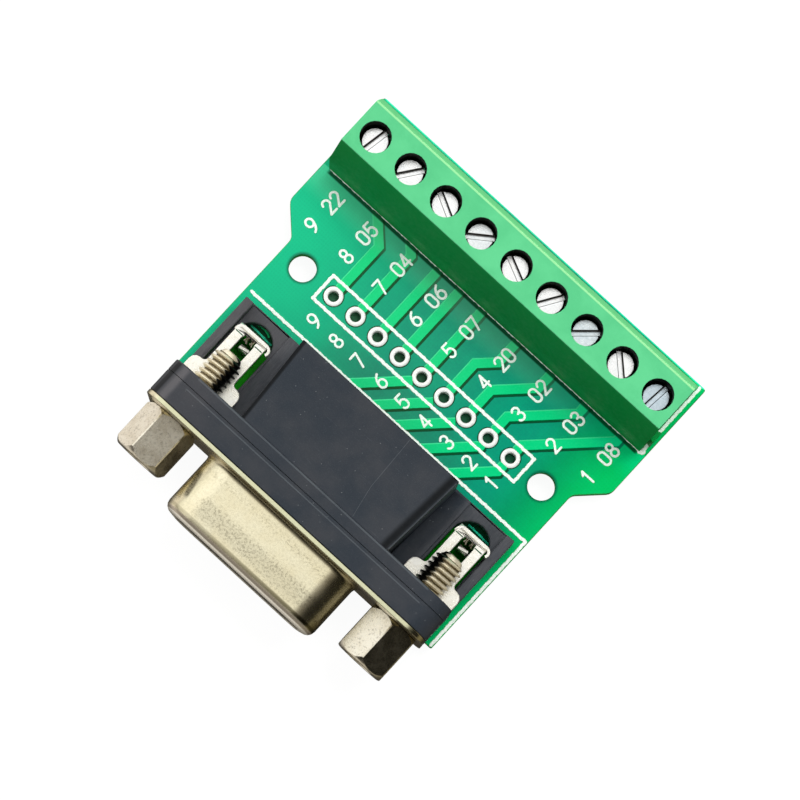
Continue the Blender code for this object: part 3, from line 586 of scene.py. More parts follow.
# the curls' dull brown and dark spots: painted shade from deep inside the rear fold
CURL = metal(
    "bracket_curl",
    srgb(250, 244, 222),
    srgb(120, 106, 72),
    (0.24, 0.4),
    4.0,
    0.2,
    (0, 0, 0),
    srgb(60, 50, 28),
    0.3,
    0.6,
    0.4,
).material
SLOT_SHADE = metal("slot_shade", (0.05, 0.045, 0.04), (0.02, 0.018, 0.015), (0.4, 0.5), 2.0).material
SCREW_TINTS = {
    1: ((214, 228, 236), (186, 202, 212)),
    3: ((232, 240, 242), (200, 212, 217)),
    6: ((246, 249, 249), (222, 228, 230)),
}


def screw_material(number):
    """Zinc screw head brushed along a direction of its own."""
    bright, dull = SCREW_TINTS.get(number, ((254, 254, 253), (240, 242, 243)))
    made = metal(
        "screw_zinc_%d" % number,
        srgb(*bright),
        srgb(*dull),
        (0.12, 0.24),
        1.2,
        0.34,
        (0, 0, SLOT_ANGLES[number - 1] + (37, 12, 64, 24, 8, 52, 30, 18, 46)[number - 1]),
        None,
        0.24,
        0.1,
    )
    return made.material




# ============================================================= mesh construction
def piece(name, verts, faces, finishes, body="root", replaces=(), marks=None, sharp=38.0):
    """A finished piece from board-frame millimetres. marks gives each face's finish."""
    mesh = bpy.data.meshes.new(name)
    mesh.from_pydata([world(*v) for v in verts], [], faces)
    return dress(name, mesh, finishes, body, replaces, marks, sharp)


def dress(name, mesh, finishes, body="root", replaces=(), marks=None, sharp=38.0):
    mesh.name = name
    mesh.materials.clear()
    for finish in finishes if isinstance(finishes, (list, tuple)) else [finishes]:
        mesh.materials.append(finish)
    if marks is not None:
        mesh.polygons.foreach_set("material_index", marks)
    mesh.shade_smooth()
    mesh.set_sharp_from_angle(angle=math.radians(sharp))
    obj = bpy.data.objects.new(name, mesh)
    bpy.context.scene.collection.objects.link(obj)
    soften = obj.modifiers.new("even_normals", "WEIGHTED_NORMAL")
    soften.keep_sharp = True
    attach(obj, body)
    if replaces:
        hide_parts(*replaces)
    return obj


def refined_bmesh(node, width, segments=2, angle=32.0, profile=0.6, keep=None, fine=None):
    """A CAD node's mesh (or a mesh), welded and with its outer edges rounded; fine edges get a hair's breadth."""
    work = bmesh.new()
    work.from_mesh(frame["nodes"][node].data if isinstance(node, str) else node)
    bmesh.ops.remove_doubles(work, verts=work.verts, dist=4e-7)
    bmesh.ops.dissolve_limit(
        work, angle_limit=math.radians(0.4), verts=work.verts, edges=work.edges
    )
    work.normal_update()
    passes = [(width, segments, lambda edge: (keep is None or keep(edge)) and not (fine and fine(edge)))]
    if fine:
        passes.append((0.03, 1, fine))
    for size, count, test in passes:
        edges = [
            edge
            for edge in work.edges
            if len(edge.link_faces) == 2
            and edge.is_convex
            and edge.calc_face_angle(0.0) > math.radians(angle)
            and test(edge)
        ]
        if not size or not edges:
            continue
        bmesh.ops.bevel(
            work,
            geom=edges,
            offset=size * MM,
            offset_type="OFFSET",
            segments=count,
            profile=profile,
            affect="EDGES",
            clamp_overlap=False,
        )
        work.normal_update()
    return work


def refined(name, node, width, finishes, body="root", segments=2, angle=32.0, mark=None, keep=None, sharp=38.0, fine=None):
    work = refined_bmesh(node, width, segments, angle, keep=keep, fine=fine)
    if mark is not None:
        for face in work.faces:
            face.material_index = mark(face)
    mesh = bpy.data.meshes.new(name)
    work.to_mesh(mesh)
    work.free()
    marks = [face.material_index for face in mesh.polygons] if mark is not None else None
    return dress(name, mesh, finishes, body, (node,), marks, sharp)


class Build:
    """Gathers several closed shapes into one piece, in board-frame millimetres."""

    def __init__(self):
        self.verts, self.faces, self.marks = [], [], []

    def add(self, verts, faces, mark=0):
        start = len(self.verts)
        self.verts += [tuple(v) for v in verts]
        self.faces += [tuple(start + k for k in face) for face in faces]
        self.marks += [mark] * len(faces)

    def ring_strip(self, rings, closed=True, caps=True, mark=0):
        """Joins equal loops of points one after another."""
        count = len(rings[0])
        verts = [v for ring in rings for v in ring]
        faces = []
        for r in range(len(rings) - 1):
            for k in range(count if closed else count - 1):
                j = (k + 1) % count
                faces.append((r * count + k, r * count + j, (r + 1) * count + j, (r + 1) * count + k))
        if caps:
            faces.append(tuple(reversed(range(count))))
            faces.append(tuple((len(rings) - 1) * count + k for k in range(count)))
        self.add(verts, faces, mark)

    def lathe(self, profile, centre, sides=24, axis="Z", loop=False, mark=0):
        """Turned shape through (radius, height) points; loop joins the last to the first."""
        rings = []
        for r, h in profile:
            ring = []
            for k in range(sides):
                a = 2 * math.pi * k / sides
                u, v = r * math.cos(a), r * math.sin(a)
                if axis == "Z":
                    ring.append((centre[0] + u, centre[1] + v, centre[2] + h))
                else:  # along +Y
                    ring.append((centre[0] + u, centre[1] + h, centre[2] - v))
            rings.append(ring)
        if loop:
            rings.append(rings[0])
        self.ring_strip(rings, caps=not loop, mark=mark)

    def ribbon(self, points, half, low, high, slope, rounded=False, mark=0, rise=0.0):
        """A raised strip along a flat line, with sloping sides; rise lifts its far end."""
        points = [Vector(p) for p in points]
        widths = [half] * len(points)
        if rounded:
            head = (points[0] - points[1]).normalized()
            tail = (points[-1] - points[-2]).normalized()
            steps = (80, 55, 28)
            first = [points[0] + head * half * math.sin(math.radians(a)) for a in steps]
            last = [points[-1] + tail * half * math.sin(math.radians(a)) for a in reversed(steps)]
            shrink = [half * math.cos(math.radians(a)) for a in steps]
            points = first + points + last
            widths = shrink + widths + shrink[::-1]
        rings = []
        for k, (point, w) in enumerate(zip(points, widths)):
            before = (point - points[k - 1]).normalized() if k else None
            after = (points[k + 1] - point).normalized() if k + 1 < len(points) else None
            if before is None:
                side, stretch = Vector((-after.y, after.x)), 1.0
            elif after is None:
                side, stretch = Vector((-before.y, before.x)), 1.0
            else:
                mean = (before + after).normalized()
                side = Vector((-mean.y, mean.x))
                stretch = 1.0 / max(0.45, side.dot(Vector((-after.y, after.x))))
            outer, inner = w * stretch, max(w - slope, w * 0.3) * stretch
            top = high + rise * k / (len(points) - 1)
            rings.append(
                [
                    (point.x - side.x * outer, point.y - side.y * outer, low),
                    (point.x - side.x * inner, point.y - side.y * inner, top),
                    (point.x + side.x * inner, point.y + side.y * inner, top),
                    (point.x + side.x * outer, point.y + side.y * outer, low),
                ]
            )
        self.ring_strip(rings, mark=mark)

    def thread(self, centre, minor, major, pitch, start, end, sides=28, axis="Y", taper=(0.0, 0.0), inner=False):
        """A helical thread between two levels of its axis; taper blends its ends to the minor radius."""
        rows = max(4, int(round((end - start) / pitch * 16)))
        rings, crests = [], []
        for row in range(rows + 1):
            h = start + (end - start) * row / rows
            ring, level = [], []
            for k in range(sides):
                a = 2 * math.pi * k / sides
                phase = (h / pitch - k / sides) % 1.0
                crest = min(1.0, max(0.0, 1.25 - abs(phase - 0.5) * 3.1))
                crest = crest * crest * (3 - 2 * crest)
                if taper[0]:
                    crest *= min(1.0, (h - start) / taper[0])
                if taper[1]:
                    crest *= min(1.0, (end - h) / taper[1])
                r = minor + (major - minor) * crest
                u, v = r * math.cos(a), r * math.sin(a)
                level.append(crest)
                if axis == "Y":
                    ring.append((centre[0] + u, centre[1] + h, centre[2] - v))
                else:
                    ring.append((centre[0] + u, centre[1] + v, centre[2] + h))
            rings.append(ring)
            crests.append(level)
        if inner:
            rings = [list(reversed(ring)) for ring in rings]
            crests = [list(reversed(level)) for level in crests]
        self.ring_strip(rings, caps=not inner)
        first = len(self.marks) - rows * sides - (0 if inner else 2)
        for row in range(rows):
            for k in range(sides):
                j = (k + 1) % sides
                mean = (crests[row][k] + crests[row][j] + crests[row + 1][k] + crests[row + 1][j]) / 4
                self.marks[first + row * sides + k] = 1 if mean < 0.12 else 0

    def make(self, name, finishes, body="root", replaces=(), sharp=38.0):
        return piece(name, self.verts, self.faces, finishes, body, replaces, self.marks, sharp)


def arc(cx, cy, rx, ry, start, end, steps):
    return [
        (
            cx + rx * math.cos(math.radians(start + (end - start) * k / steps)),
            cy + ry * math.sin(math.radians(start + (end - start) * k / steps)),
        )
        for k in range(steps + 1)
    ]


def boolean(mesh, operation, other):
    """One exact Boolean between two meshes, as a new mesh."""
    a = bpy.data.objects.new("a", mesh)
    b = bpy.data.objects.new("b", other)
    for obj in (a, b):
        bpy.context.scene.collection.objects.link(obj)
    step = a.modifiers.new("cut", "BOOLEAN")
    step.operation = operation
    step.solver = "EXACT"
    step.object = b
    made = bpy.data.meshes.new_from_object(a.evaluated_get(bpy.context.evaluated_depsgraph_get()))
    for obj in (a, b):
        bpy.data.objects.remove(obj, do_unlink=True)
    return made


def mesh_of(build):
    mesh = bpy.data.meshes.new("raw")
    mesh.from_pydata([world(*v) for v in build.verts], [], build.faces)
    work = bmesh.new()
    work.from_mesh(mesh)
    bmesh.ops.recalc_face_normals(work, faces=work.faces)
    work.to_mesh(mesh)
    work.free()
    return mesh


# ========================================================================= board
def pole_x(number):
    return (5 - number) * TERM_PITCH


def pad_x(number):
    return (5 - number) * HEADER_PITCH


def contact_place(number):
    if number <= 5:
        return (3 - number) * CONTACT_PITCH, AXIS_Z + 1.42, -6.43
    return (7.5 - number) * CONTACT_PITCH, AXIS_Z - 1.42, -9.27


TRACKS_TOP = {
    9: [(-10.16, 0.78), (-10.16, 5.75), (-12.9, 8.49)],
    8: [(-7.62, 0.78), (-7.62, 7.0), (-9.1, 8.5)],
    7: [(-5.08, 0.78), (-5.08, 8.6)],
    6: [(-2.54, 0.78), (-2.54, 8.6)],
    5: [(0, 0.78), (0, 8.6)],
    4: [(2.54, 0.78), (2.54, 3.88), (3.96, 5.30), (3.96, 8.6)],
    3: [(5.08, 0.78), (5.08, 3.14), (7.92, 5.98), (7.92, 8.6)],
    2: [(7.62, 0.78), (7.62, 2.4), (11.88, 6.66), (11.88, 8.6)],
    1: [(10.16, 0.78), (10.16, 1.42), (15.84, 7.1), (15.84, 8.6)],
}
LOWER_LINES = {5: 0.44, 4: 3.15, 3: 5.68, 2: 8.65, 1: 11.72}


def make_board():
    refined(
        "board_laminate",
        "circuit_board",
        0.05,
        [MASK, EDGE],
        segments=1,
        mark=lambda face: 0 if abs(face.normal.z) > 0.8 else 1,
        keep=lambda edge: max(abs(v.co.x) for v in edge.verts) > 0.0159 or min(v.co.y for v in edge.verts) < -0.0124,
    )
    top = Build()
    track_shadow = Build()

    def track(line):
        top.ribbon(line, 0.5, -0.01, 0.085, 0.12)
        # a painted shadow strip along each track's far side
        track_shadow.ribbon([(px + 0.13, py - 0.05) for px, py in line], 0.5, -0.01, 0.02, 0.02)

    for line in TRACKS_TOP.values():
        track(line)
    for number, offset in LOWER_LINES.items():
        x = pad_x(number)
        turn = x - offset
        line = [(x, -0.78), (x, turn), (x - 5.5, turn - 5.5)]
        if turn > -0.9:
            line = [(x - 0.35, turn - 0.35), (x - 5.5, turn - 5.5)]
        track(line)
    top.make("tracks_top", MASK_TRACK)
    track_shadow.make("track_shadow_strips", MASK_DEEP)
    under = Build()
    low, high = -1.59, -1.66
    for number in range(6, POLES + 1):
        x, _, y = contact_place(number)
        end = pad_x(number)
        shift = end - x
        bend = -4.6 + 0.9 * (number - 7.5)
        under.ribbon([(x, y), (x, bend), (end, bend + abs(shift)), (end, 0)], 0.4, low, high, 0.08)
    for number in range(1, POLES + 1):
        under.ribbon([(pad_x(number), 0), (pad_x(number), 3.0), (pole_x(number), 3.0 + abs(pole_x(number) - pad_x(number))), (pole_x(number), 9.2)][: 4 if number != 5 else 4], 0.4, low, high, 0.08)
    under.make("tracks_under", MASK_TRACK)
    # a dark green film just above the underside of each header hole, painted shade for the shade seen down the hole,
    # and the shaded mask down the walls of the board-lock holes, also painted shade
    lock_hole_shades = Build()
    header_hole_shades = Build()
    for number in range(1, POLES + 1):
        header_hole_shades.lathe([(0.48, -1.5), (0.475, -1.25), (0.3, -1.2), (0.08, -1.19)], (pad_x(number), 0, 0), 24)
    header_hole_shades.make("header_hole_shade_films", MASK_HOLE)
    for _, side in SIDES:
        lock_hole_shades.lathe([(1.28, -1.5), (1.27, -1.3), (1.0, -1.26), (0.5, -1.25)], (side * JACK_X, -7.99, 0), 28)
    lock_hole_shades.make("lock_hole_shade_films", MASK_DEEP)
    # painted light and shade on the mask round each board-lock hole: reflection lines, glints, shade behind the lock
    # and under the recess
    reflection_lines = Build()
    glints = Build()
    shade = Build()
    recess_shade = Build()
    for _, side in SIDES:
        x = side * JACK_X
        reflection_lines.ribbon([(x - 1.15, -6.54), (x + 0.1, -6.58), (x + 1.3, -6.68)], 0.1, 0.01, 0.09, 0.02)
        if side < 0:
            crescent = [(x - 0.8, -6.16), (x - 0.4, -6.06), (x, -6.04), (x + 0.4, -6.12), (x + 0.72, -6.3)]
            glints.ribbon(crescent, 0.1, 0.01, 0.1, 0.04)
        for target, low, high in ((shade, -7.4, -6.0), (recess_shade, -13.2, -7.4)):
            target.ring_strip(
                [
                    [(x - 2.3, low, z), (x + 2.3, low, z), (x + 2.3, high, z), (x - 2.3, high, z)]
                    for z in (0.004, 0.03)
                ]
            )
    reflection_lines.make("lock_hole_reflections", MASK_LIT)
    glints.make("lock_hole_glints", MASK_GLINT)
    shade.make("shade_behind_lock", MASK_DEEP)
    recess_shade.make("shade_under_recess", MASK_RECESS)
    # painted light: a bright strip along the board's back edge
    rear = Build()
    rear.ribbon([(-18.3, 15.43), (18.3, 15.43)], 0.075, -0.25, 0.015, 0.02)
    rear.make("board_rear_edge_light", MASK_LIT)


def ring(build, x, y, inner, outer, hole, top=True):
    """A plated hole: lands on both faces, or the under one only, and the barrel between them."""
    t = 1.6
    if not top:
        build.lathe(
            [
                (inner, -t + 0.3),
                (inner, -t + 0.02),
                (inner + 0.02, -t - 0.05),
                (inner + 0.09, -t - 0.074),
                (outer - 0.07, -t - 0.072),
                (outer - 0.02, -t - 0.05),
                (outer, -t + 0.005),
                (hole, -t + 0.005),
                (hole, -t + 0.3),
            ],
            (x, y, 0),
            32,
            loop=True,
        )
        return
    build.lathe(
        [
            (outer, -0.005),
            (outer - 0.02, 0.05),
            (outer - 0.07, 0.072),
            (inner + 0.09, 0.074),
            (inner + 0.02, 0.05),
            (inner, -0.02),
            (inner, -t + 0.02),
            (inner + 0.02, -t - 0.05),
            (inner + 0.09, -t - 0.074),
            (outer - 0.07, -t - 0.072),
            (outer - 0.02, -t - 0.05),
            (outer, -t + 0.005),
            (hole, -t + 0.005),
            (hole, -0.005),
        ],
        (x, y, 0),
        32,
        loop=True,
    )


def make_pads():
    pads = Build()
    for number in range(1, POLES + 1):
        ring(pads, pad_x(number), 0, 0.47, 0.86, 0.5)
    pads.make("header_pads", PAD)
    clear = Build()
    for number in range(1, POLES + 1):
        clear.lathe([(0.83, 0.0), (0.83, 0.03), (0.93, 0.024), (0.94, 0.0)], (pad_x(number), 0, 0), 32, loop=True)
    clear.make("pad_clearances", MASK_DEEP)
    lands = Build()
    for number in range(1, POLES + 1):
        x, _, y = contact_place(number)
        ring(lands, x, y, 0.5, 0.9, 0.55)
        ring(lands, pole_x(number), 9.275, 0.7, 1.15, 0.75)
    for _, side in SIDES:
        ring(lands, side * JACK_X, -7.99, 1.26, 1.75, 1.3, top=False)
    lands.make("soldered_lands", PAD)


def make_solder():
    solder = Build()
    for number in range(1, POLES + 1):
        x, _, y = contact_place(number)
        solder.lathe(
            [(0.2, -1.2), (0.5, -1.5), (0.88, -1.66), (0.8, -1.74), (0.6, -1.9), (0.46, -2.15), (0.36, -2.5), (0.3, -2.56)],
            (x, y, 0),
            20,
        )
        solder.lathe(
            [(0.2, -1.1), (0.7, -1.5), (1.13, -1.66), (1.02, -1.78), (0.82, -1.98), (0.66, -2.3), (0.57, -2.7), (0.45, -2.78)],
            (pole_x(number), 9.275, 0),
            20,
        )
    for _, side in SIDES:
        solder.lathe(
            [(0.4, -1.1), (1.2, -1.5), (1.72, -1.66), (1.6, -1.76), (1.3, -1.95), (1.05, -2.2), (0.8, -2.35), (0.4, -2.4)],
            (side * JACK_X, -7.99, 0),
            28,
        )
    solder.make("solder_joints", SOLDER, sharp=60)


GLYPHS = {
    "0": [arc(0.5, 0.74, 0.5, 0.26, 0, 180, 10) + arc(0.5, 0.26, 0.5, 0.26, 180, 360, 10) + [(1.0, 0.74)]],
    "1": [[(0.55, 0.0), (0.55, 1.0)], [(0.55, 1.0), (0.2, 0.78)]],
    "2": [arc(0.5, 0.73, 0.5, 0.27, 170, -28, 12) + [(0.0, 0.0)], [(0.0, 0.0), (1.0, 0.0)]],
    "3": [arc(0.46, 0.76, 0.45, 0.24, 152, -90, 12), arc(0.46, 0.27, 0.5, 0.27, 82, -152, 13)],
    "4": [[(0.74, 0.0), (0.74, 1.0)], [(0.74, 1.0), (0.0, 0.3)], [(0.0, 0.3), (1.0, 0.3)]],
    "5": [[(0.92, 1.0), (0.14, 1.0)], [(0.14, 1.0), (0.07, 0.54)] + arc(0.47, 0.32, 0.5, 0.32, 118, -150, 13)],
    "6": [[(0.84, 1.0), (0.52, 0.9), (0.22, 0.7), (0.04, 0.44)] + arc(0.5, 0.3, 0.5, 0.3, 172, 532, 20)],
    "7": [[(0.0, 1.0), (1.0, 1.0)], [(1.0, 1.0), (0.38, 0.0)]],
    "8": [arc(0.5, 0.76, 0.42, 0.24, -90, 270, 16), arc(0.5, 0.26, 0.5, 0.26, 90, 450, 18)],
}
GLYPHS["9"] = [[(1 - x, 1 - y) for x, y in line] for line in GLYPHS["6"]]
# the same circuits' numbers on a 25-way connector, beside each pole number
SECOND_NUMBERS = {1: "08", 2: "03", 3: "02", 4: "20", 5: "07", 6: "06", 7: "04", 8: "05", 9: "22"}


def write(build, text, cx, cy, pitch=0.97, wide=0.66, tall=1.27, half=0.11):
    """Numerals that read along +Y, with their tops towards -X; (cx, cy) is the first one's middle."""
    for k, letter in enumerate(text):
        for level, line in enumerate(GLYPHS[letter]):
            points = [
                (cx - (v - 0.5) * tall, cy + k * pitch + (u - 0.5) * wide) for u, v in line
            ]
            build.ribbon(points, half, 0.05, 0.11 + 0.02 * level, 0.03, rounded=True, rise=0.014)


def make_silk():
    lines = Build()

    def line(points, half=0.15, z=0.0):
        """One printed stroke, its edges uneven as the screen's mesh leaves them."""
        (ax, ay), (bx, by) = points
        count = max(3, int(math.dist(points[0], points[1]) / 0.21))
        run = []
        for k in range(count + 1):
            t = k / count
            wander = 0.022 * math.sin(k * 2.39) + 0.014 * math.sin(k * 5.1 + 1.3)
            nx, ny = -(by - ay), bx - ax
            size = math.hypot(nx, ny)
            run.append((ax + (bx - ax) * t + nx / size * wander, ay + (by - ay) * t + ny / size * wander))
        lines.ribbon(run, half, z - 0.01, z + 0.045, 0.03, rounded=True)

    x0, x1, y = -11.36, 11.71, 1.3
    lift = 0.055
    for level, points in enumerate(
        (
            [(x0, -y), (x1, -y)],
            [(x1, -y), (x1, y)],
            [(x1, y), (x0, y)],
            [(x0, y), (x0, -y)],
        )
    ):
        line(points, z=lift + 0.012 * level)
    line([(-17.6, 7.86), (17.97, 7.86)], 0.12, z=lift)
    line([(17.97, 7.86), (17.97, 15.25)], z=0.01)
    line([(17.84, 7.78), (18.1, 7.98)], 0.2, z=0.09)
    line([(-15.54, -4.4), (15.88, -4.4)], z=lift)
    line([(15.88, -4.4), (15.88, -16.2)], z=0.02)
    lines.make("silk_outlines", INK)
    digits = Build()
    for number in range(1, POLES + 1):
        write(digits, str(number), pole_x(number) + 0.2, 3.23)
        write(digits, str(number), pad_x(number) + 0.2, -2.65)
        write(digits, SECOND_NUMBERS[number], pole_x(number) + 0.2, 5.36)
    digits.make("silk_numerals", INK)


# ================================================================ D-sub connector
def make_connector():
    refined("socket_shell", "dsub_shell", 0.06, SHELL, angle=50, sharp=50)
    def seam(y):
        """Edges of the flange that meet the other block along one plane."""
        level = (y + SHIFT.y) * MM
        return lambda edge: all(abs(v.co.y - level) < 2e-5 and v.co.z > 0.003 for v in edge.verts)

    refined("front_block", "front_insulator", 0.1, BLACK, angle=40, fine=seam(-14.62))
    refined("rear_block", "rear_insulator", 0.12, BLACK, angle=40, fine=seam(-14.58))
    # hairline left on the hood's roof where two halves of its mould met
    pale_lines = Build()
    pale_lines.ribbon([(4.15, -13.4), (3.6, -10.6), (3.35, -5.5)], 0.03, 12.29, 12.306, 0.012)
    # painted highlights along the seam between the two blocks and along the flange's rear edge
    pale_lines.ribbon([(-13.0, -14.92), (13.0, -14.92)], 0.07, 12.46, 12.51, 0.02)
    pale_lines.ribbon([(-12.8, -13.63), (12.8, -13.63)], 0.1, 12.44, 12.512, 0.03)
    # painted highlight along the right corner of the hood's roof
    pale_lines.ribbon([(8.1, -13.4), (8.6, -5.6)], 0.07, 12.27, 12.318, 0.02)
    pale_lines.make("block_parting_line_and_highlights", BLACK_PALE)
    for number in range(1, POLES + 1):
        refined(
            "contact_%d" % number,
            "socket_contact_%d" % number,
            0.04,
            GOLD,
            angle=60,
            segments=1,
            sharp=50,
        )


def make_jackscrews():
    for (name, side), corner in zip(SIDES, (50.0, 90.0)):
        x = side * JACK_X
        r = 4.6 / math.sqrt(3)
        hexagon = Build()
        outline = []
        for k in range(6):
            here = corner + 60 * k
            for lean in (-1, 1):
                # a step of 0.07 mm from the corner along either face
                along = math.radians(here + lean * 120)
                outline.append(
                    (
                        x + r * math.cos(math.radians(here)) + 0.07 * math.cos(along),
                        AXIS_Z + r * math.sin(math.radians(here)) + 0.07 * math.sin(along),
                    )
                )
        hexagon.ring_strip(
            [[(u, y, v) for u, v in outline] for y in (HEX_FRONT_Y, FLANGE_FRONT_Y - 0.04)]
        )
        limit = Build()
        limit.lathe(
            [
                (2.1, HEX_FRONT_Y - 0.02),
                (2.25, HEX_FRONT_Y + 0.04),
                (2.42, HEX_FRONT_Y + 0.2),
                (2.68, HEX_FRONT_Y + 0.6),
                (2.72, FLANGE_FRONT_Y - 0.7),
                (2.6, FLANGE_FRONT_Y - 0.35),
                (2.3, FLANGE_FRONT_Y),
            ],
            (x, 0, AXIS_Z),
            48,
            axis="Y",
        )
        mesh = boolean(mesh_of(hexagon), "INTERSECT", mesh_of(limit))
        bore = Build()
        bore.lathe(
            [
                (1.62, HEX_FRONT_Y - 0.3),
                (1.5, HEX_FRONT_Y + 0.02),
                (1.2, HEX_FRONT_Y + 0.32),
                (1.2, HEX_FRONT_Y + 4.0),
                (0.4, HEX_FRONT_Y + 4.3),
            ],
            (x, 0, AXIS_Z),
            40,
            axis="Y",
        )
        mesh = boolean(mesh, "DIFFERENCE", mesh_of(bore))
        work = bmesh.new()
        work.from_mesh(mesh)
        bmesh.ops.dissolve_limit(work, angle_limit=math.radians(0.4), verts=work.verts, edges=work.edges)
        work.to_mesh(mesh)
        work.free()
        dress("jackscrew_hex_" + name, mesh, NICKEL, replaces=("jackscrew_" + name,), sharp=22)
        shank = Build()
        shank.thread((x, 0, AXIS_Z), 1.1, 1.44, 0.5, FLANGE_FRONT_Y - 0.3, -10.2, sides=36, taper=(0.2, 0.35))
        shank.lathe([(1.0, -10.3), (1.0, -10.1), (0.86, -9.86), (0.5, -9.76)], (x, 0, AXIS_Z), 28, axis="Y")
        shank.make("jackscrew_thread_" + name, [THREAD, THREAD_ROOT])
        tap = Build()
        tap.thread((x, 0, AXIS_Z), 1.19, 1.02, 0.635, HEX_FRONT_Y + 0.35, HEX_FRONT_Y + 4.0, taper=(0.3, 0.0), inner=True)
        tap.make("jackscrew_tap_" + name, [NICKEL, THREAD_ROOT])


def make_brackets():
    for name, side in SIDES:
        x = side * JACK_X
        # the window between the arms runs back to the rear fold
        window = Build()
        window.ring_strip(
            [
                [(x - 0.6, -8.3, z), (x + 0.6, -8.3, z), (x + 0.6, -7.66, z), (x - 0.6, -7.66, z)]
                for z in (3.6, 5.4)
            ]
        )
        sheet = boolean(frame["nodes"]["boardlock_bracket_" + name].data.copy(), "DIFFERENCE", mesh_of(window))
        work = refined_bmesh(sheet, 0.06, 2, 50.0)
        work.to_mesh(sheet)
        work.free()
        dress(
            "board_lock_" + name,
            sheet,
            TIN,
            replaces=("boardlock_bracket_" + name,),
        )
        # hooked ends of the rear fold, which curl round and point forward
        hooks = Build()
        path = arc(1.42, -7.72, 0.44, 0.42, 100, -34, 12)
        hooks.ribbon([(x + u, v) for u, v in path], 0.16, 3.7, 4.72, 0.05)
        path = arc(-1.1, -7.86, -0.44, 0.52, 96, -10, 12)
        hooks.ribbon([(x + u, v) for u, v in path], 0.16, 3.7, 4.7, 0.05)
        hooks.ribbon([(x - 1.12, -7.34), (x + 1.45, -7.32)], 0.2, 3.9, 4.76, 0.05)
        # bright lip of the sprung tongue, deep between the arms
        hooks.ribbon([(x - 0.46, -8.72), (x + 0.46, -8.52)], 0.16, 1.9, 2.6, 0.05)
        hooks.make("board_lock_hooks_" + name, TIN)
        # curls of the rear fold, their dull, spotted plating painted shade
        curls = Build()
        for k, (u, v, w) in enumerate(((-0.42, 0.1, 0.30), (-0.12, -0.12, 0.34), (0.16, 0.12, 0.26), (0.42, -0.08, 0.32))):
            path = [
                (x + u + v * math.sin(t * math.pi) * 0.9, -7.66 - w * 1.7 * t)
                for t in (0.0, 0.25, 0.5, 0.75, 1.0)
            ]
            curls.ribbon(path, 0.1, 3.2, 4.5 - 0.06 * k, 0.06, rise=-0.4)
        curls.make("board_lock_curls_" + name, CURL)
        # painted shade lines across the arms at the fold
        lines = Build()
        for lean in (-1, 1):
            lines.ribbon([(x + lean * 0.68, -7.99), (x + lean * 1.46, -7.99)], 0.055, 4.7, 4.762, 0.01)
        lines.make("board_lock_fold_shades_" + name, MASK_DEEP)


# ================================================================= terminal block
def inside_housing(face):
    """Finish 2 for the walls of the screw bores, 1 for those of the wire pockets, 0 elsewhere; 1 and 2 are painted
    shade.
    """
    place = face.calc_center_median() / MM - SHIFT
    offset = (place.x + TERM_PITCH / 2) % TERM_PITCH - TERM_PITCH / 2
    in_bore = math.hypot(offset, place.y - SCREW_Y) < 1.4 and place.z < 10.66
    in_pocket = abs(offset) < 1.62 and 8.6 < place.y < 14.2 and place.z < 7.0
    if abs(place.x) > 17.6:
        return 0
    return 1 if in_pocket else 2 if in_bore else 0


def make_terminals():
    work = refined_bmesh("terminal_housing", 0.05, 2, 20.0)
    level = (14.45 + SHIFT.y) * MM
    for vert in work.verts:
        if abs(vert.co.y - level) < 6e-5:
            vert.co.y -= 0.17 * MM  # the back wall leans in, clear of the board's edge
        elif vert.co.y > level + 0.5 * MM:
            vert.co.y -= 0.1 * MM
    marks = []
    for face in work.faces:
        face.material_index = inside_housing(face)
        marks.append(face.material_index)
    mesh = bpy.data.meshes.new("terminal_body")
    work.to_mesh(mesh)
    work.free()
    dress("terminal_body", mesh, [HOUSING, HOUSING_DEEP, HOUSING_BORE], replaces=("terminal_housing",), marks=marks)
    for number in range(1, POLES + 1):
        finish = screw_material(number)
        head = refined(
            "screw_head_%d" % number,
            "terminal_screw_%d" % number,
            0.03,
            finish,
            body="screw_%d" % number,
            angle=40,
            segments=1,
        )
        middle = world(pole_x(number), SCREW_Y, 0)
        for vert in head.data.vertices:  # the rim of the head all but fills the bore
            away = Vector((vert.co.x - middle.x, vert.co.y - middle.y))
            if away.length > 1.12 * MM:
                vert.co.x = middle.x + away.x * 1.042
                vert.co.y = middle.y + away.y * 1.042
        # painted shade at the root of the slot's wall on the side away from the window, and a thinner line of painted
        # shade along the other wall
        turn = math.radians(SLOT_ANGLES[number - 1])
        nx, ny = -math.sin(turn), math.cos(turn)
        if nx * -0.46 + ny * 0.93 < 0:
            nx, ny = -nx, -ny
        reach = math.sqrt(1.25**2 - 0.25**2)
        dx, dy = math.cos(turn) * reach, math.sin(turn) * reach
        cx, cy = pole_x(number), SCREW_Y
        floor = 8.26 - 0.55
        slot_shade_lines = Build()
        slot_shade_lines.ribbon(
            [(cx - dx + nx * 0.2, cy - dy + ny * 0.2), (cx + dx + nx * 0.2, cy + dy + ny * 0.2)],
            0.045,
            floor - 0.02,
            8.17,
            0.004,
        )
        slot_shade_lines.ribbon(
            [(cx - dx * 0.9 - nx * 0.235, cy - dy * 0.9 - ny * 0.235), (cx + dx * 0.95 - nx * 0.235, cy + dy * 0.95 - ny * 0.235)],
            0.018,
            floor - 0.02,
            8.12,
            0.002,
        )
        slot_shade_lines.make("slot_edge_%d" % number, SLOT_SHADE, body="screw_%d" % number)
        refined(
            "cage_%d" % number,
            "clamp_cage_%d" % number,
            0.06,
            CLAMP,
            body="cage_%d" % number,
            angle=50,
        )
        refined("pin_%d" % number, "terminal_pin_%d" % number, 0.05, CLAMP, angle=50, segments=1)


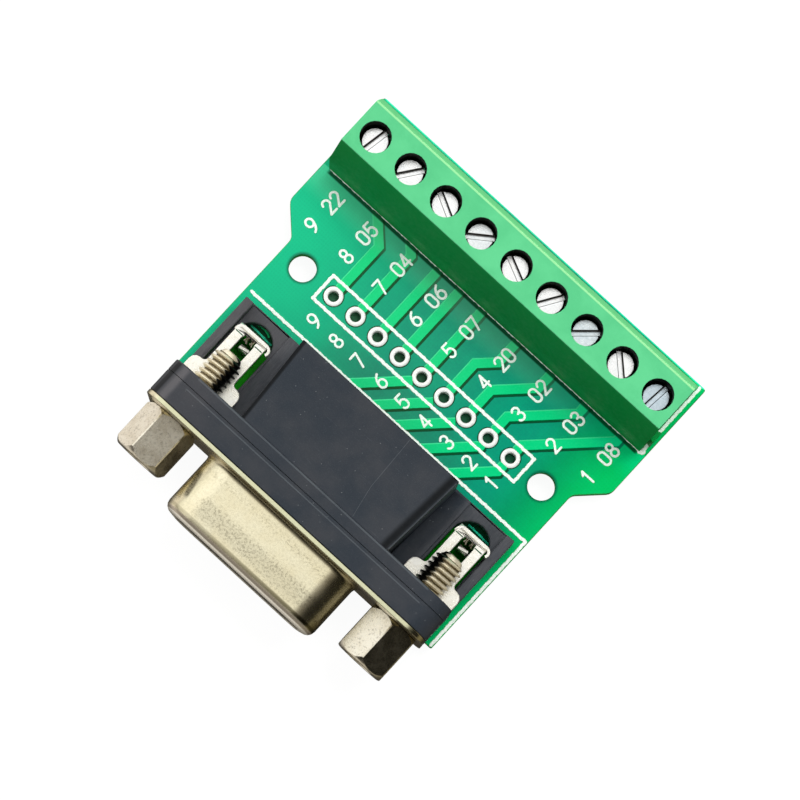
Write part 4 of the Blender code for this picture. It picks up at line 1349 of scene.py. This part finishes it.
# ========================================================== floor, light, camera
def make_stage():
    """A seamless pale dish: flat under the object, rising far out."""
    build = Build()
    sides = 64
    rings = []
    for r, z in ((2, 0), (150, 0), (420, 0), (620, 12), (800, 60), (940, 150), (1040, 300), (1100, 520), (1130, 900)):
        rings.append(
            [
                (
                    r * math.cos(2 * math.pi * k / sides),
                    r * math.sin(2 * math.pi * k / sides) - SHIFT.y,
                    z - SHIFT.z,
                )
                for k in range(sides)
            ]
        )
    count = sides
    verts = [v for ring_ in rings for v in ring_]
    faces = [tuple(range(count))]
    for r in range(len(rings) - 1):
        for k in range(count):
            j = (k + 1) % count
            faces.append((r * count + k, r * count + j, (r + 1) * count + j, (r + 1) * count + k))
    mesh = bpy.data.meshes.new("studio_floor")
    mesh.from_pydata([world(*v) for v in verts], [], faces)
    mesh.shade_smooth()
    floor = bpy.data.objects.new("studio_floor", mesh)
    bpy.context.scene.collection.objects.link(floor)
    paper = Shader("studio_paper")
    paper.set(
        base_color=(0.12, 0.12, 0.12),
        roughness=0.9,
        specular_ior_level=0.0,
        emission_color=(1.0, 1.0, 1.0),
        emission_strength=0.93,
    )
    mesh.materials.append(paper.material)
    floor.visible_diffuse = False
    floor.visible_glossy = False
    floor.visible_transmission = False
    floor.visible_shadow = False


KEY = Vector((-0.60, 0.22, 0.77)).normalized()


def make_light():
    """A broad soft window on the left, a darker room on the right and a pale table below."""
    sky = bpy.data.worlds.new("studio_sky")
    bpy.context.scene.world = sky
    sky.use_nodes = True
    tree = sky.node_tree
    tree.nodes.clear()
    link = tree.links.new
    out = tree.nodes.new("ShaderNodeOutputWorld")
    glow = tree.nodes.new("ShaderNodeBackground")
    place = tree.nodes.new("ShaderNodeTexCoord")
    split = tree.nodes.new("ShaderNodeSeparateXYZ")
    link(place.outputs["Generated"], split.inputs[0])
    dot = tree.nodes.new("ShaderNodeVectorMath")
    dot.operation = "DOT_PRODUCT"
    dot.inputs[1].default_value = KEY
    link(place.outputs["Generated"], dot.inputs[0])
    half = tree.nodes.new("ShaderNodeMath")
    half.operation = "MULTIPLY_ADD"
    half.inputs[1].default_value = 0.5
    half.inputs[2].default_value = 0.5
    link(dot.outputs["Value"], half.inputs[0])

    def ramp(factor, stops):
        node = tree.nodes.new("ShaderNodeValToRGB")
        band = node.color_ramp
        while len(band.elements) < len(stops):
            band.elements.new(0.5)
        for element, (position, colour) in zip(band.elements, stops):
            element.position = position
            element.color = (*colour, 1.0)
        link(factor, node.inputs["Fac"])
        return node.outputs["Color"]

    window = ramp(
        half.outputs[0],
        (
            (0.0, (0.006, 0.006, 0.005)),
            (0.60, (0.014, 0.013, 0.010)),
            (0.70, (0.11, 0.10, 0.085)),
            (0.79, (0.23, 0.215, 0.20)),
            (0.87, (0.82, 0.82, 0.80)),
            (0.93, (0.96, 0.96, 0.95)),
            (1.0, (1.0, 1.0, 1.0)),
        ),
    )
    across = tree.nodes.new("ShaderNodeMapRange")
    across.inputs["From Min"].default_value = -0.8
    across.inputs["From Max"].default_value = 0.8
    link(split.outputs["X"], across.inputs["Value"])
    table = ramp(
        across.outputs["Result"],
        ((0.0, (0.78, 0.74, 0.71)), (0.5, (0.50, 0.46, 0.40)), (1.0, (0.17, 0.15, 0.09))),
    )
    # the table straight below lies in the object's own shade
    under = tree.nodes.new("ShaderNodeMapRange")
    under.interpolation_type = "SMOOTHSTEP"
    under.inputs["From Min"].default_value = -0.85
    under.inputs["From Max"].default_value = -0.35
    under.inputs["To Min"].default_value = 0.1
    link(split.outputs["Z"], under.inputs["Value"])
    shade = tree.nodes.new("ShaderNodeVectorMath")
    shade.operation = "SCALE"
    link(table, shade.inputs[0])
    link(under.outputs["Result"], shade.inputs["Scale"])
    horizon = tree.nodes.new("ShaderNodeMapRange")
    horizon.interpolation_type = "SMOOTHSTEP"
    horizon.inputs["From Min"].default_value = 0.12
    horizon.inputs["From Max"].default_value = -0.06
    link(split.outputs["Z"], horizon.inputs["Value"])
    blend = tree.nodes.new("ShaderNodeMix")
    blend.data_type = "RGBA"
    link(horizon.outputs["Result"], blend.inputs["Factor"])
    link(window, blend.inputs[6])
    link(shade.outputs[0], blend.inputs[7])
    link(blend.outputs[2], glow.inputs["Color"])
    glow.inputs["Strength"].default_value = 1.25
    link(glow.outputs[0], out.inputs[0])

    for name, energy, size, colour, direction in (
        ("key", 2.7, 0.26, (1.0, 0.995, 0.98), (0.06, 0.3, 0.95)),
        ("fill", 1.7, 0.5, (1.0, 1.0, 1.0), (0.75, -0.15, 0.7)),
    ):
        lamp = bpy.data.lights.new(name, "AREA")
        lamp.shape = "DISK"
        lamp.size = size
        lamp.energy = energy
        lamp.color = colour
        holder = bpy.data.objects.new(name, lamp)
        holder.location = Vector(direction).normalized() * 0.75
        holder.rotation_mode = "QUATERNION"
        holder.rotation_quaternion = (-holder.location).to_track_quat("-Z", "Y")
        holder.visible_glossy = False
        bpy.context.scene.collection.objects.link(holder)


def make_camera():
    lens = bpy.data.cameras.new("photo_view")
    lens.sensor_fit = "AUTO"
    lens.sensor_width = 36.0
    lens.lens = 233.86
    lens.clip_start = 0.01
    lens.clip_end = 10.0
    camera = bpy.data.objects.new("photo_view", lens)
    back = Vector((0.0465, -0.0803, 0.9957)).normalized()
    up = Vector((-0.6744, 0.7328, 0.0906))
    up = (up - back * up.dot(back)).normalized()
    right = up.cross(back)
    turn = Matrix((right, up, back)).transposed()
    camera.matrix_world = Matrix.Translation(Vector((20.4, -34.18, 441.0)) * MM) @ turn.to_4x4()
    bpy.context.scene.collection.objects.link(camera)
    bpy.context.scene.camera = camera


make_camera()
make_board()
make_pads()
make_solder()
make_silk()
make_connector()
make_jackscrews()
make_brackets()
make_terminals()
make_stage()
make_light()

settings = bpy.context.scene.view_settings
settings.view_transform = "Standard"
settings.look = "None"
settings.exposure = 0.0
settings.gamma = 1.0
